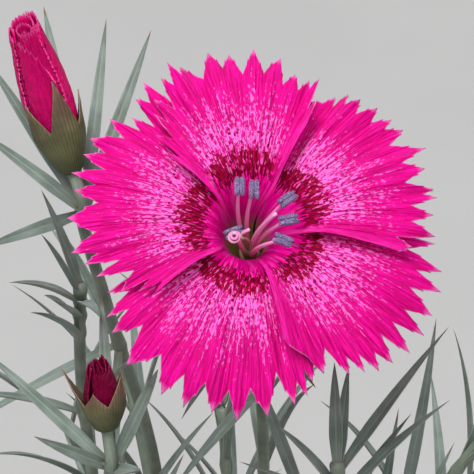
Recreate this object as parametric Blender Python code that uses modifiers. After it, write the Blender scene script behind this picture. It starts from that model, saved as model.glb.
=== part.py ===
"""A dianthus plant in its pot: one fringed bloom, two buds and leafy shoots.

Lengths are in millimetres up to the point where a mesh is made, and in metres after that.
The origin is the middle of the pot's underside, +Z up, and the bloom looks towards -Y.
"""

import math
import random

import bmesh
import bpy
from mathutils import Vector

MM = 0.001
PLANT = "dianthus_plant"
GAP = 0.3
WELD = 0.002
SEED = 11

# Pot and soil
POT_HEIGHT = 76.0
POT_RIM_RADIUS = 45.0
POT_FOOT_RADIUS = 30.0
POT_WALL = 3.5
POT_FLOOR = 5.0
RIM_HEIGHT = 15.0
RIM_STANDS_OUT = 2.6
DRAIN_HOLES = 5
DRAIN_RADIUS = 3.0
DRAIN_CIRCLE = 19.0
SOIL_TOP = 68.0
SOIL_DOME = 2.0
RIM_DRAFT = 1.0
EDGE_ROUND = 1.2
DRAIN_SIDES = 10
# share of the soil's radius, share of its dome
SOIL_PROFILE = ((0.45, 0.8), (0.8, 0.3))
HOLE_ROOM = 0.2
HOLE_SIDES = 6
ROUND = 28

# The line of sight that the plant is laid out for, and the bloom on it
VIEW_DROP = math.radians(40.0)
VIEW_DISTANCE = 350.0
BLOOM_RISE = math.radians(60.0)
BLOOM = Vector((0.0, -21.0, 190.0))
RIGHT = Vector((1.0, 0.0, 0.0))
UP = Vector((0.0, math.sin(VIEW_DROP), math.cos(VIEW_DROP)))
AWAY = Vector((0.0, math.cos(VIEW_DROP), -math.sin(VIEW_DROP)))
AXIS = Vector((0.0, -math.cos(BLOOM_RISE), math.sin(BLOOM_RISE)))
CROWN = Vector((0.0, math.sin(BLOOM_RISE), math.cos(BLOOM_RISE)))

# Petals: the shape of the limb, and where each petal's edge and teeth reach
PETAL_THICK = 0.65
THROAT_THICK = 0.95
THROAT_DEPTH = 10.5
THROAT_RADIUS = 1.8
THROAT_FLARE = 2.0
SHOULDER = 8.0
LIMB_REACH = 21.0
LIMB_DROOP = 3.2
OVER = 0.8
UNDER = -0.85
FREE_FROM = 3.4
FREE_BY = 8.5
CLAW_NARROWS = 0.7
CLAW_END = 15.0
THROAT_COLUMNS = 15
THROAT_LEVELS = (-CLAW_END, -THROAT_DEPTH, -7.4, -4.9, -3.0)
PETAL_ROWS = (0.0, 0.2, 0.5, 0.8, 1.0)
PETAL_CUP = 0.35
TOOTH_CURL = 0.5
# a cleft's depth: its least, its share of the tooth's width, its most, and how far it varies
CLEFT_LEAST = 0.45
CLEFT_SHARE = 1.0
CLEFT_MOST = 3.4
CLEFT_VARIES = (0.75, 1.1)
TOOTH_LEAST = 0.9
CLEFT_STRAYS = (-0.1, 0.1)
# name: lift at its first side, lift at its last side, teeth as (bearing in degrees, reach)
PETALS = {
    "top": (OVER, OVER, (
        (62, 12.5), (63.5, 16), (67.5, 19.6), (70.5, 19), (75.5, 19), (81.5, 21), (90, 21.9),
        (97.5, 21.5), (103.5, 22.5), (113, 21.4), (116, 22.6), (120, 21.1), (126.5, 19),
        (130.5, 17.3), (136, 15.3), (142, 12.5))),
    "upper_right": (OVER, UNDER, (
        (-12, 16.5), (-9, 17.8), (-3, 20.3), (4.5, 20.2), (10.5, 20.9), (14, 20.9), (20, 20.5),
        (27, 21.8), (36.5, 21.2), (41, 20.8), (46.5, 20.5), (53, 20.2), (57.5, 20), (60.5, 18.9),
        (63, 17.2), (65.5, 17), (68, 16.5), (71, 14.5))),
    "lower_right": (OVER, UNDER, (
        (-77, 14), (-75.3, 15.2), (-72.2, 15.7), (-69.1, 16.5), (-66.1, 18.9), (-58.5, 20.1),
        (-54.5, 21), (-50.5, 21.6),
        (-46, 22), (-39.5, 22.4), (-32.5, 22.4), (-26.5, 22.2), (-18, 22), (-11.5, 21.5),
        (-4.5, 20.4), (0, 15))),
    "bottom": (UNDER, UNDER, (
        (-163, 14), (-155, 18), (-148, 19.3), (-142, 20), (-132.5, 21), (-118.5, 21.5),
        (-111, 21.9), (-102.5, 21.6), (-95, 21.8), (-86, 21.5), (-77.5, 20.7), (-73, 20.2),
        (-70, 18.8), (-67.3, 17), (-64.4, 14.5))),
    "left": (UNDER, OVER, (
        (121, 17), (124, 22.6), (129, 21.5), (135, 19.6), (139, 21.8), (148, 22), (154, 21.5),
        (161.5, 21.7), (166.5, 20.8), (176.5, 21), (189, 20.6), (193, 19.5), (200, 18.6),
        (208, 16.8), (213, 15.2), (218.5, 14))),
}

# Stamens and style, on the bloom's own axes: across, towards its crown, along its axis, and
# how far each anther leans to the right
ANTHERS = (
    (-1.6, 3.0, 3.0, 0.0), (0.0, 2.4, 3.6, 0.0), (3.7, 1.4, 3.2, 0.95),
    (3.8, -0.9, 2.8, 1.42), (3.2, -3.2, 2.6, 1.95), (-2.2, -2.2, 2.3, 1.2))
BARE_FILAMENT = (2.4, -0.4, 3.4)
ANTHER_LENGTH = 2.2
ANTHER_WIDTH = 1.15
ANTHER_DEPTH = 1.0
ANTHER_PINCH = 0.3
FILAMENT_RADIUS = 0.3
FILAMENT_CIRCLE = 0.45
FILAMENT_SUNK = 1.0
FILAMENT_BEND = 0.25
FILAMENT_BEND_LEVEL = -2.0
OVARY_RADIUS = 1.05
OVARY_TOP = -10.6
STYLE_CURL = 0.75
STYLE_BEND = (-0.3, -0.3, -4.0)
STYLE_AT = (-1.4, -3.2, 3.2)
STYLE_RISE = 0.12

# Calyx of the bloom
CALYX_BOTTOM = -26.0
CALYX_RADIUS = 2.9
CALYX_WALL = 0.65
CALYX_TOOTH_TOP = -3.7
CALYX_TOOTH_FOOT = -8.5
TEETH = 5
CUP_LEVELS = (0.0, 0.47, 1.0)
CUP_FOOT = 0.8
TOOTH_NARROWS = (0.0, 0.35, 0.0, -0.35)
CALYX_FOOT_RADIUS = 2.45
CALYX_WIDENS = (-26.0, -14.0)
CLASP = 1.25
CLASP_FROM = -9.5
# the scales at its foot: how far up and how far out their roots, bends and tips lie
SCALES = 4
SCALE_UP = (0.5, 5.0, 9.5)
SCALE_OUT = (2.0, 3.1, 4.1)
SCALE_WIDTH = 3.0

# Buds: foot and end as seen, calyx length, widths, how far the cup is turned
BUDS = {
    "upper_bud": {
        "foot": (-20.1, 5.6, 12.0), "end": (-25.8, 22.4, 8.0), "calyx": 4.6, "tooth": 5.1,
        "width": 5.6, "petals": 4.5, "twist": 0.63, "open": True},
    "lower_bud": {
        "foot": (-16.3, -23.0, 8.0), "end": (-17.4, -14.9, 5.5), "calyx": 3.0, "tooth": 2.4,
        "width": 4.6, "petals": 3.4, "twist": 0.91, "open": False},
}
BUD_FOOT = 0.72
BUD_WIDENS = 0.7
# the roll of petals: its levels, layers, twist and teeth, and the hollow of an open end
ROLL_LEVELS = (0.0, 0.18, 0.38, 0.56, 0.74, 0.9, 1.0)
ROLL_LAYERS = 4
ROLL_FACETS = 5
ROLL_STEP = (0.8, 1.0)
ROLL_FOOT = 0.9
ROLL_ROOM = 0.2
ROLL_TWIST = 1.5
ROLL_TOOTH = 0.9
HOLLOW_NARROWS = 0.45
HOLLOW_DEPTHS = (2.4, 3.2)
CLOSED_TIP = 0.9
# width at its foot, where it is widest, where it begins and ends to narrow, and by how much
OPEN_ROLL = (0.66, 0.4, 0.5, 1.0, 0.34)
CLOSED_ROLL = (0.62, 0.5, 0.62, 1.05, 0.5)

# Stems and leaves
STEM_RADIUS = 0.8
JOINT_SWELL = 1.35
JOINT_NEAR = 0.6
BURIED = 12.0
LEAF_DEPTH = 0.7
LEAF_CHANNEL = 0.4
CHANNEL_HALF = 1.2
LEAST_TURN = 0.15
LEAF_SECTIONS = (0.0, 0.28, 0.6, 0.86)
CUSHION_SECTIONS = (0.0, 0.38, 0.78)
LEAF_STEPS = 12
LEAF_ROOT_WIDTH = 0.62
LEAF_WIDTH = 2.0
LEAF_BELLY = 0.35
LEAF_TAPER = 2.6
LEAF_THINS = 0.8

# Cushion of leafy shoots: (number, radius of their circle, first bearing, height)
CUSHION = ((5, 12.0, 20.0, 60.0), (9, 28.5, 8.0, 46.0))
CUSHION_JOINT = 11.2
CUSHION_LEAF = (25.0, 34.0)
# how far its shoots stray, lean, vary in height and stay clear; their points and first joint
CUSHION_TURN = (-14, 14)
CUSHION_STRAY = (-3, 3)
CUSHION_LEAN = (0.1, 0.35)
CUSHION_LEAN_OUT = 0.004
CUSHION_TALL = (0.85, 1.15)
CUSHION_WAY = (0.4, 0.75, 1.0)
CUSHION_START = 3.5
CUSHION_CLEAR = 4.2
JOINTS_LEAST = 3
FIRST_JOINT = 0.12
# how its leaves turn, shorten with each try and with height, open, bow and vary in width
LEAF_TURN = (-30, 30)
LEAF_SHORTENS = (1.0, 0.75)
LENGTH_BY_HEIGHT = (1.1, 0.8)
LEAF_OPENS = (30, 72)
OPEN_BY_HEIGHT = (1.1, 0.6)
LEAF_BOW = (3.0, 7.0)
LEAF_VARIES = (0.9, 1.15)

# The room that leaves keep to: clear of the soil, the rim, the bloom and each other
ROOM_BESIDE = (8.0, -11.0)
ABOVE_SOIL = 5.0
INSIDE_RIM = 10.0
ABOVE_RIM = 3.0
BLOOM_RINGS = 8
RING_STEP = 2.8
RING_POINTS = 6
UNDER_PETALS = 1.5
CALYX_POINTS = range(5, 27, 3)
BUD_POINTS = 6
TRIES = 60
CLEAR = 3.4
LEAF_POINTS = 8
TIP_POINTS = 10

# Stems: bare foot, necks under the calyxes, steps between points; a leaf's root and its bow
BARE_FOOT = 1.0
BLOOM_NECK = 6.0
BUD_NECK = 4.0
FRONT_STEPS = 3
CUSHION_STEPS = 2
ROOT_OUT = 0.1
ROOT_DOWN = 0.3
BOW_UP = 0.6
BOW_BACK = 0.2
LEAST_SPAN = 0.5

COLOURS = {
    "terracotta": ((0.50, 0.20, 0.10), 0.85),
    "soil": ((0.045, 0.028, 0.018), 0.98),
    "leaf": ((0.13, 0.19, 0.17), 0.6),
    "calyx": ((0.16, 0.17, 0.08), 0.6),
    "petal": ((0.82, 0.02, 0.30), 0.55),
    "bud": ((0.33, 0.005, 0.09), 0.55),
    "stamen": ((0.55, 0.40, 0.55), 0.6),
}


def clear_scene():
    """Removes what the scene starts with."""
    for thing in list(bpy.data.objects):
        bpy.data.objects.remove(thing, do_unlink=True)


def new_collection(name):
    """A collection under the scene's own."""
    group = bpy.data.collections.new(name)
    bpy.context.scene.collection.children.link(group)
    return group


def material(name):
    """One Principled material of the table above."""
    found = bpy.data.materials.get(name)
    if found:
        return found
    colour, rough = COLOURS[name]
    made = bpy.data.materials.new(name)
    made.use_nodes = True
    shader = made.node_tree.nodes["Principled BSDF"]
    shader.inputs["Base Color"].default_value = (*colour, 1.0)
    shader.inputs["Roughness"].default_value = rough
    made.diffuse_color = (*colour, 1.0)
    return made


def object_of(mesh, name, group):
    """An object of a mesh, in a collection."""
    thing = bpy.data.objects.new(name, mesh)
    group.objects.link(thing)
    return thing


def object_from(shape, name, group):
    """An object in metres from a bmesh in millimetres, its faces pointing out."""
    bmesh.ops.scale(shape, vec=(MM, MM, MM), verts=shape.verts)
    bmesh.ops.recalc_face_normals(shape, faces=shape.faces)
    mesh = bpy.data.meshes.new(name)
    shape.to_mesh(mesh)
    shape.free()
    return object_of(mesh, name, group)


def evaluated(thing):
    """A plain mesh of an object with its modifiers done."""
    graph = bpy.context.evaluated_depsgraph_get()
    return bpy.data.meshes.new_from_object(thing.evaluated_get(graph))


def smoothstep(low, high, value):
    """0 below low, 1 above high, and a soft step between them."""
    share = min(max((value - low) / (high - low), 0.0), 1.0)
    return share * share * (3.0 - 2.0 * share)


def mix(first, last, share):
    """The value that share of the way from first to last."""
    return first + (last - first) * share


def seen(across, rise, away):
    """The point seen that far right of the bloom, above it and beyond it."""
    grow = 1.0 + away / VIEW_DISTANCE
    return BLOOM + RIGHT * (across * grow) + UP * (rise * grow) + AWAY * away


def in_bloom(across, crown, along):
    """A point on the bloom's own axes."""
    return BLOOM + RIGHT * across + CROWN * crown + AXIS * along


def through(points, steps):
    """A smooth route through points, with that many steps from each to the next."""
    ends = [points[0] * 2 - points[1], *points, points[-1] * 2 - points[-2]]
    route = []
    for before, first, last, after in zip(ends, ends[1:], ends[2:], ends[3:]):
        for step in range(steps):
            t = step / steps
            route.append(0.5 * (
                first * 2 + (last - before) * t
                + (before * 2 - first * 5 + last * 4 - after) * t * t
                + (first * 3 - before - last * 3 + after) * t * t * t))
    route.append(points[-1])
    return route


def spaced(points, most=2.5):
    """The points with more set between them, so that none lie further apart than most."""
    close = [points[0]]
    for first, last in zip(points, points[1:]):
        count = max(1, math.ceil((last - first).length / most))
        close.extend(first.lerp(last, step / count) for step in range(1, count + 1))
    return close


def arc(root, bend, tip, count):
    """Points of a curve from root to tip that bend draws towards itself."""
    return [root * (1 - t) ** 2 + bend * 2 * t * (1 - t) + tip * t * t
            for t in (step / count for step in range(count + 1))]


def loft(rings, tip=None):
    """A closed body through rings of equally many points, drawn to a tip or capped flat."""
    shape = bmesh.new()
    loops = [[shape.verts.new(point) for point in ring] for ring in rings]
    count = len(loops[0])
    for low, high in zip(loops, loops[1:]):
        for i in range(count):
            j = (i + 1) % count
            even, odd = (i, j) if i % 2 == 0 else (j, i)
            shape.faces.new((low[even], low[odd], high[odd]))
            shape.faces.new((low[even], high[odd], high[even]))
    shape.faces.new(loops[0])
    if tip is None:
        shape.faces.new(loops[-1])
    else:
        point = shape.verts.new(tip)
        for i in range(count):
            shape.faces.new((loops[-1][i], loops[-1][(i + 1) % count], point))
    return shape


def sheet(columns, rows, place, thickness, name, group, wrapped=False):
    """A thin body: place(i, j) lays out a grid, which is split and given its thickness."""
    shape = bmesh.new()
    bmesh.ops.create_grid(shape, x_segments=columns, y_segments=rows, size=1.0)
    for vert in shape.verts:
        i = round((vert.co.x + 1.0) / 2.0 * columns)
        j = round((vert.co.y + 1.0) / 2.0 * rows)
        vert.co = place(i, j)
    if wrapped:
        bmesh.ops.remove_doubles(shape, verts=shape.verts, dist=WELD)
    bmesh.ops.triangulate(shape, faces=shape.faces, quad_method="FIXED")
    thing = object_from(shape, name, group)
    shell = thing.modifiers.new("thickness", "SOLIDIFY")
    shell.thickness = thickness * MM
    shell.offset = 0.0
    mesh = evaluated(thing)
    bpy.data.objects.remove(thing, do_unlink=True)
    shape = bmesh.new()
    shape.from_mesh(mesh)
    bmesh.ops.recalc_face_normals(shape, faces=shape.faces)
    shape.to_mesh(mesh)
    shape.free()
    return object_of(mesh, name, group)


def rod(route, radii, name, group, smooth_sides=1):
    """A tube with closed ends along a route, with its own radius at each point."""
    curve = bpy.data.curves.new(name, "CURVE")
    curve.dimensions = "3D"
    curve.bevel_depth = MM
    curve.bevel_resolution = smooth_sides
    curve.use_fill_caps = True
    spline = curve.splines.new("POLY")
    spline.points.add(len(route) - 1)
    for point, place, radius in zip(spline.points, route, radii):
        point.co = (*(place * MM), 1.0)
        point.radius = radius
    drawn = object_of(curve, name, group)
    mesh = evaluated(drawn)
    bpy.data.objects.remove(drawn, do_unlink=True)
    shape = bmesh.new()
    shape.from_mesh(mesh)
    bmesh.ops.remove_doubles(shape, verts=shape.verts, dist=WELD * MM)
    bmesh.ops.recalc_face_normals(shape, faces=shape.faces)
    shape.to_mesh(mesh)
    shape.free()
    return object_of(mesh, name, group)


def turned(profile, segments, name, group):
    """A solid turned round the upright axis from (radius, height) points, inner side first."""
    shape = bmesh.new()
    verts = [shape.verts.new((radius, 0.0, height)) for radius, height in profile]
    for low, high in zip(verts, verts[1:]):
        shape.edges.new((low, high))
    bmesh.ops.scale(shape, vec=(MM, MM, MM), verts=shape.verts)
    mesh = bpy.data.meshes.new(name)
    shape.to_mesh(mesh)
    shape.free()
    thing = object_of(mesh, name, group)
    screw = thing.modifiers.new("turn", "SCREW")
    screw.steps = segments
    screw.render_steps = segments
    screw.use_merge_vertices = True
    screw.merge_threshold = WELD * MM
    return thing


def islands(shape):
    """The separate bodies of a bmesh, as lists of faces."""
    left = set(shape.faces)
    found = []
    while left:
        waiting = [left.pop()]
        body = list(waiting)
        while waiting:
            face = waiting.pop()
            for edge in face.edges:
                for other in edge.link_faces:
                    if other in left:
                        left.remove(other)
                        waiting.append(other)
                        body.append(other)
        found.append(body)
    return found


def volume_of(faces):
    """The signed volume inside some faces."""
    total = 0.0
    for face in faces:
        first = face.verts[0].co
        for one, two in zip(face.verts[1:], face.verts[2:]):
            total += first.dot(one.co.cross(two.co)) / 6.0
    return total


def largest_body(mesh):
    """Keeps the mesh's largest body: sealed hollows are filled and scraps are dropped."""
    shape = bmesh.new()
    shape.from_mesh(mesh)
    bodies = sorted(islands(shape), key=volume_of)
    for body in bodies[:-1]:
        bmesh.ops.delete(shape, geom=body, context="FACES")
    shape.to_mesh(mesh)
    shape.free()


def joined(name, pieces, group):
    """One body from pieces that run into each other."""
    base = pieces[0]
    others = new_collection(name + "_pieces")
    for piece in pieces[1:]:
        for home in list(piece.users_collection):
            home.objects.unlink(piece)
        others.objects.link(piece)
    union = base.modifiers.new("join", "BOOLEAN")
    union.operation = "UNION"
    union.operand_type = "COLLECTION"
    union.collection = others
    union.solver = "MANIFOLD"
    mesh = evaluated(base)
    for piece in pieces:
        bpy.data.objects.remove(piece, do_unlink=True)
    bpy.data.collections.remove(others)
    largest_body(mesh)
    return object_of(mesh, name, group)


def finish(thing, name, finish_name):
    """Names a piece and gives it its material."""
    thing.name = name
    thing.data.name = name
    thing.data.materials.clear()
    thing.data.materials.append(material(finish_name))
    return thing


def cut(thing, cutters, name):
    """Takes a collection of cutters out of a piece."""
    for cutter in cutters.objects:
        cutter.hide_render = True
        cutter.display_type = "WIRE"
    holes = thing.modifiers.new(name, "BOOLEAN")
    holes.operation = "DIFFERENCE"
    holes.operand_type = "COLLECTION"
    holes.collection = cutters
    holes.solver = "EXACT"


def upright_cutter(name, group, place, radius, low, high, sides):
    """A cylinder that cuts an upright hole."""
    bpy.ops.mesh.primitive_cylinder_add(
        vertices=sides, radius=radius * MM, depth=(high - low) * MM,
        location=(place.x * MM, place.y * MM, (low + high) / 2 * MM))
    cutter = bpy.context.object
    cutter.name = name
    for home in list(cutter.users_collection):
        home.objects.unlink(cutter)
    group.objects.link(cutter)
    return cutter


def pot_radius(height):
    """The outer radius of the pot's wall at a height."""
    return mix(POT_FOOT_RADIUS, POT_RIM_RADIUS - RIM_STANDS_OUT, height / POT_HEIGHT)


def make_pot(parts):
    """The pot: a tapered shell with a thick rim and drain holes round the middle of its floor."""
    rim_foot = POT_HEIGHT - RIM_HEIGHT
    edge = EDGE_ROUND
    inner = pot_radius(POT_HEIGHT) - POT_WALL
    rim_low = POT_RIM_RADIUS - RIM_DRAFT
    profile = (
        (0.0, POT_FLOOR), (pot_radius(POT_FLOOR) - POT_WALL, POT_FLOOR), (inner, POT_HEIGHT - edge),
        (inner + edge, POT_HEIGHT), (POT_RIM_RADIUS - edge, POT_HEIGHT),
        (POT_RIM_RADIUS, POT_HEIGHT - edge), (rim_low, rim_foot + edge),
        (rim_low - edge, rim_foot), (pot_radius(rim_foot), rim_foot),
        (pot_radius(edge), edge), (POT_FOOT_RADIUS - edge, 0.0), (0.0, 0.0))
    pot = turned(profile, ROUND, "pot", parts)
    cutters = new_collection("drain_cutters")
    for i in range(DRAIN_HOLES):
        turn = math.tau * i / DRAIN_HOLES
        place = Vector((DRAIN_CIRCLE * math.cos(turn), DRAIN_CIRCLE * math.sin(turn), 0.0))
        upright_cutter(f"drain_{i}", cutters, place, DRAIN_RADIUS, -1.0, POT_FLOOR + 1.0,
                       DRAIN_SIDES)
    cut(pot, cutters, "drain_holes")
    return finish(pot, "pot", "terracotta")


def make_soil(parts, feet):
    """The soil: it fills the pot, and each stem stands in a plain hole in it."""
    low = POT_FLOOR + GAP
    floor_edge = pot_radius(POT_FLOOR) - POT_WALL - GAP
    wall = pot_radius(SOIL_TOP) - POT_WALL - GAP
    profile = (
        (0.0, SOIL_TOP + SOIL_DOME),
        *((wall * out, SOIL_TOP + SOIL_DOME * up) for out, up in SOIL_PROFILE),
        (wall - HOLE_ROOM, SOIL_TOP), (floor_edge - HOLE_ROOM, low), (0.0, low))
    soil = turned(profile, ROUND, "soil", parts)
    cutters = new_collection("stem_hole_cutters")
    for name, foot in feet.items():
        radius = STEM_RADIUS + GAP + HOLE_ROOM
        upright_cutter(name + "_hole", cutters, foot, radius, SOIL_TOP - BURIED - GAP,
                       POT_HEIGHT, HOLE_SIDES)
    cut(soil, cutters, "stem_holes")
    return finish(soil, "soil", "soil")


def throat(radius):
    """How far the limb lies below the bloom's plane, from the throat out to the fringe."""
    funnel = -THROAT_DEPTH * math.exp((THROAT_RADIUS - radius) / THROAT_FLARE)
    droop = max(radius - SHOULDER, 0.0) / (LIMB_REACH - SHOULDER)
    return funnel - LIMB_DROOP * droop * droop


def throat_radius(along):
    """The radius at which the funnel of the throat lies that far along the axis."""
    return THROAT_RADIUS - THROAT_FLARE * math.log(-along / THROAT_DEPTH)


def fringe(teeth, rng):
    """The edge of a petal: (bearing, reach, curl) at each tooth and each cleft."""
    edge = []
    for (turn, reach), (next_turn, next_reach) in zip(teeth, teeth[1:]):
        edge.append((turn, reach, rng.uniform(-TOOTH_CURL, TOOTH_CURL)))
        width = math.radians(next_turn - turn) * reach
        depth = min(CLEFT_LEAST + CLEFT_SHARE * width, CLEFT_MOST) * rng.uniform(*CLEFT_VARIES)
        if width > TOOTH_LEAST:
            middle = (turn + next_turn) / 2 + rng.uniform(*CLEFT_STRAYS) * (next_turn - turn)
            edge.append((middle, min(reach, next_reach) - depth, 0.0))
    edge.append((*teeth[-1], 0.0))
    return edge


def petal_height(radius, share, sides):
    """The height of a petal's middle layer, share of the way from its first to its last side."""
    free = smoothstep(FREE_FROM, FREE_BY, radius)
    across = math.sin((share - 0.5) * math.pi) * 0.5 + 0.5
    lift = mix(sides[0], sides[1], across)
    cup = PETAL_CUP * math.cos((share - 0.5) * math.tau) * smoothstep(SHOULDER, LIMB_REACH, radius)
    return throat(radius) + free * lift + cup


def make_petals(parts):
    """Five fringed petals round one throat, each lying over or under its neighbours."""
    rows = PETAL_ROWS
    pieces = []

    def throat_place(i, j):
        turn = math.tau * i / THROAT_COLUMNS
        along = THROAT_LEVELS[j]
        radius = throat_radius(max(along, -THROAT_DEPTH))
        return in_bloom(radius * math.cos(turn), radius * math.sin(turn), along)

    pieces.append(sheet(
        THROAT_COLUMNS, len(THROAT_LEVELS) - 1, throat_place, THROAT_THICK, "throat", parts,
        wrapped=True))
    for number, (name, (first, last, teeth)) in enumerate(PETALS.items()):
        edge = fringe(teeth, random.Random(SEED + number))
        start, end = edge[0][0], edge[-1][0]

        def place(i, j, edge=edge, start=start, end=end, sides=(first, last)):
            turn, reach, curl = edge[i]
            radius = mix(FREE_FROM, reach, rows[j])
            height = petal_height(radius, (turn - start) / (end - start), sides)
            height += curl * rows[j] ** 8
            narrow = mix(CLAW_NARROWS, 1.0, smoothstep(FREE_FROM, FREE_BY, radius))
            bearing = math.radians(mix((start + end) / 2, turn, narrow))
            return in_bloom(radius * math.cos(bearing), radius * math.sin(bearing), height)

        pieces.append(sheet(len(edge) - 1, len(rows) - 1, place, PETAL_THICK, name, parts))
    petals = joined("bloom_petals", pieces, parts)
    return finish(petals, "bloom_petals", "petal")


def axes_along(axis):
    """Two directions square to an axis and to each other."""
    side = axis.cross(RIGHT)
    if side.length < 0.2:
        side = axis.cross(UP)
    side.normalize()
    return side, axis.cross(side).normalized()


def make_cup(name, foot, axis, radius_at, bottom, tooth_foot, tooth_top, parts, twist=0.0):
    """A calyx: a closed-bottomed tube whose mouth is cut into five pointed teeth."""
    side, other = axes_along(axis)
    columns = TEETH * 4
    last = len(CUP_LEVELS) + 1

    def place(i, j):
        turn = math.tau * i / columns + twist
        if j == 0:
            return foot + axis * bottom
        if j < last:
            level = mix(bottom, tooth_foot - 1.0, CUP_LEVELS[j - 1])
        else:
            from_tip = abs((i % 4) - 2) / 2.0
            level = mix(tooth_top, tooth_foot, from_tip)
            turn += TOOTH_NARROWS[i % 4] * math.tau / columns
        radius = radius_at(level) * (CUP_FOOT if j == 1 else 1.0)
        out = side * math.cos(turn) + other * math.sin(turn)
        return foot + axis * level + out * radius

    return sheet(columns, last, place, CALYX_WALL, name, parts, wrapped=True)


def blade(root, bend, tip, stem_way, width, name, parts, sections=LEAF_SECTIONS):
    """A leaf: a channelled blade from root to tip, its inner side towards the stem."""
    route = arc(root, bend, tip, LEAF_STEPS)
    span = (tip - root).normalized()
    flat = stem_way.cross(span)
    if flat.length < LEAST_TURN:
        flat = stem_way.cross(bend - root)
    side = flat.normalized()
    rings = []
    for share in sections:
        here = route[round(share * LEAF_STEPS)]
        step = min(round(share * LEAF_STEPS), LEAF_STEPS - 1)
        along = (route[step + 1] - route[step]).normalized()
        across = (side - along * side.dot(along)).normalized()
        inner = along.cross(across)
        if inner.dot(stem_way) < 0:
            inner = -inner
        belly = mix(LEAF_ROOT_WIDTH, 1.0, smoothstep(0.0, LEAF_BELLY, share))
        half = width / 2 * belly * (1.0 - share ** LEAF_TAPER)
        fold = LEAF_CHANNEL * min(half, CHANNEL_HALF)
        thick = LEAF_DEPTH * mix(1.0, LEAF_THINS, share)
        rings.append((
            here - across * half + inner * fold, here - inner * thick / 2,
            here + across * half + inner * fold, here + inner * thick / 2))
    return object_from(loft(rings, tip), name, parts)


def make_calyx(parts):
    """The calyx under the bloom, with four scales pressed to its foot."""
    def radius_at(level):
        clasp = throat_radius(max(level, -THROAT_DEPTH)) + CLASP
        tube_radius = mix(CALYX_FOOT_RADIUS, CALYX_RADIUS, smoothstep(*CALYX_WIDENS, level))
        return max(clasp if level > CLASP_FROM else 0.0, tube_radius)

    tube = make_cup(
        "calyx_tube", BLOOM, AXIS, radius_at, CALYX_BOTTOM, CALYX_TOOTH_FOOT, CALYX_TOOTH_TOP,
        parts, twist=0.3)
    side, other = axes_along(AXIS)
    pieces = [tube]
    for i in range(SCALES):
        turn = math.tau * i / SCALES
        out = side * math.cos(turn) + other * math.sin(turn)
        root, bend, tip = (BLOOM + AXIS * (CALYX_BOTTOM + up) + out * away
                           for up, away in zip(SCALE_UP, SCALE_OUT))
        pieces.append(blade(root, bend, tip, AXIS, SCALE_WIDTH, f"scale_{i}", parts))
    return finish(joined("bloom_calyx", pieces, parts), "bloom_calyx", "calyx")


def make_stamens(parts):
    """The ovary on the calyx's floor, with the filaments, their anthers and a curled style."""
    floor = CALYX_BOTTOM + CALYX_WALL / 2 + GAP
    levels = (floor, mix(floor, OVARY_TOP, 0.4), mix(floor, OVARY_TOP, 0.8), OVARY_TOP)
    ovary = rod([BLOOM + AXIS * level for level in levels],
                [OVARY_RADIUS] * 3 + [OVARY_RADIUS * 0.76], "ovary", parts)
    pieces = [ovary]
    foot = OVARY_TOP - FILAMENT_SUNK
    for i, top in enumerate((*ANTHERS, (*BARE_FILAMENT, None))):
        across, crown, along, lean = top
        tip = in_bloom(across, crown, along)
        turn = math.atan2(crown, across)
        root = in_bloom(FILAMENT_CIRCLE * math.cos(turn), FILAMENT_CIRCLE * math.sin(turn), foot)
        bend = in_bloom(FILAMENT_BEND * across, FILAMENT_BEND * crown, FILAMENT_BEND_LEVEL)
        route = arc(root, bend, tip, 5)
        pieces.append(rod(route, [FILAMENT_RADIUS] * 6, f"filament_{i}", parts, 0))
        if lean is not None:
            pieces.append(make_anther(tip, lean, i, parts))
    route = arc(in_bloom(0.0, 0.0, foot), in_bloom(*STYLE_BEND), in_bloom(*STYLE_AT), 6)
    for step in range(1, 10):
        turn = math.tau * step / 9
        route.append(in_bloom(
            STYLE_AT[0] + STYLE_CURL * (math.cos(turn) - 1.0),
            STYLE_AT[1] + STYLE_CURL * math.sin(turn), STYLE_AT[2] + STYLE_RISE * step))
    pieces.append(rod(route, [FILAMENT_RADIUS] * len(route), "style", parts, 0))
    return finish(joined("bloom_stamens", pieces, parts), "bloom_stamens", "stamen")


def make_anther(centre, lean, number, parts):
    """An anther: a plump grain, pinched along its middle into two lobes."""
    shape = bmesh.new()
    bmesh.ops.create_uvsphere(shape, u_segments=6, v_segments=5, radius=1.0)
    long_way = (RIGHT * math.sin(lean) + CROWN * math.cos(lean)).normalized()
    wide_way = AXIS.cross(long_way)
    for vert in shape.verts:
        x, y, z = vert.co
        pinch = 1.0 - ANTHER_PINCH * max(0.0, 1.0 - abs(x) * 2.5)
        vert.co = (
            centre + long_way * (z * ANTHER_LENGTH / 2) + wide_way * (x * ANTHER_WIDTH / 2)
            + AXIS * (y * pinch * ANTHER_DEPTH / 2))
    return object_from(shape, f"anther_{number}", parts)


def roll_width(share, shape):
    """How wide a roll of petals is at a share of its length, beside its widest."""
    foot, widest, narrows, ends, by = shape
    return mix(foot, 1.0, smoothstep(0.0, widest, share)) * (
        1.0 - by * smoothstep(narrows, ends, share))


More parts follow.
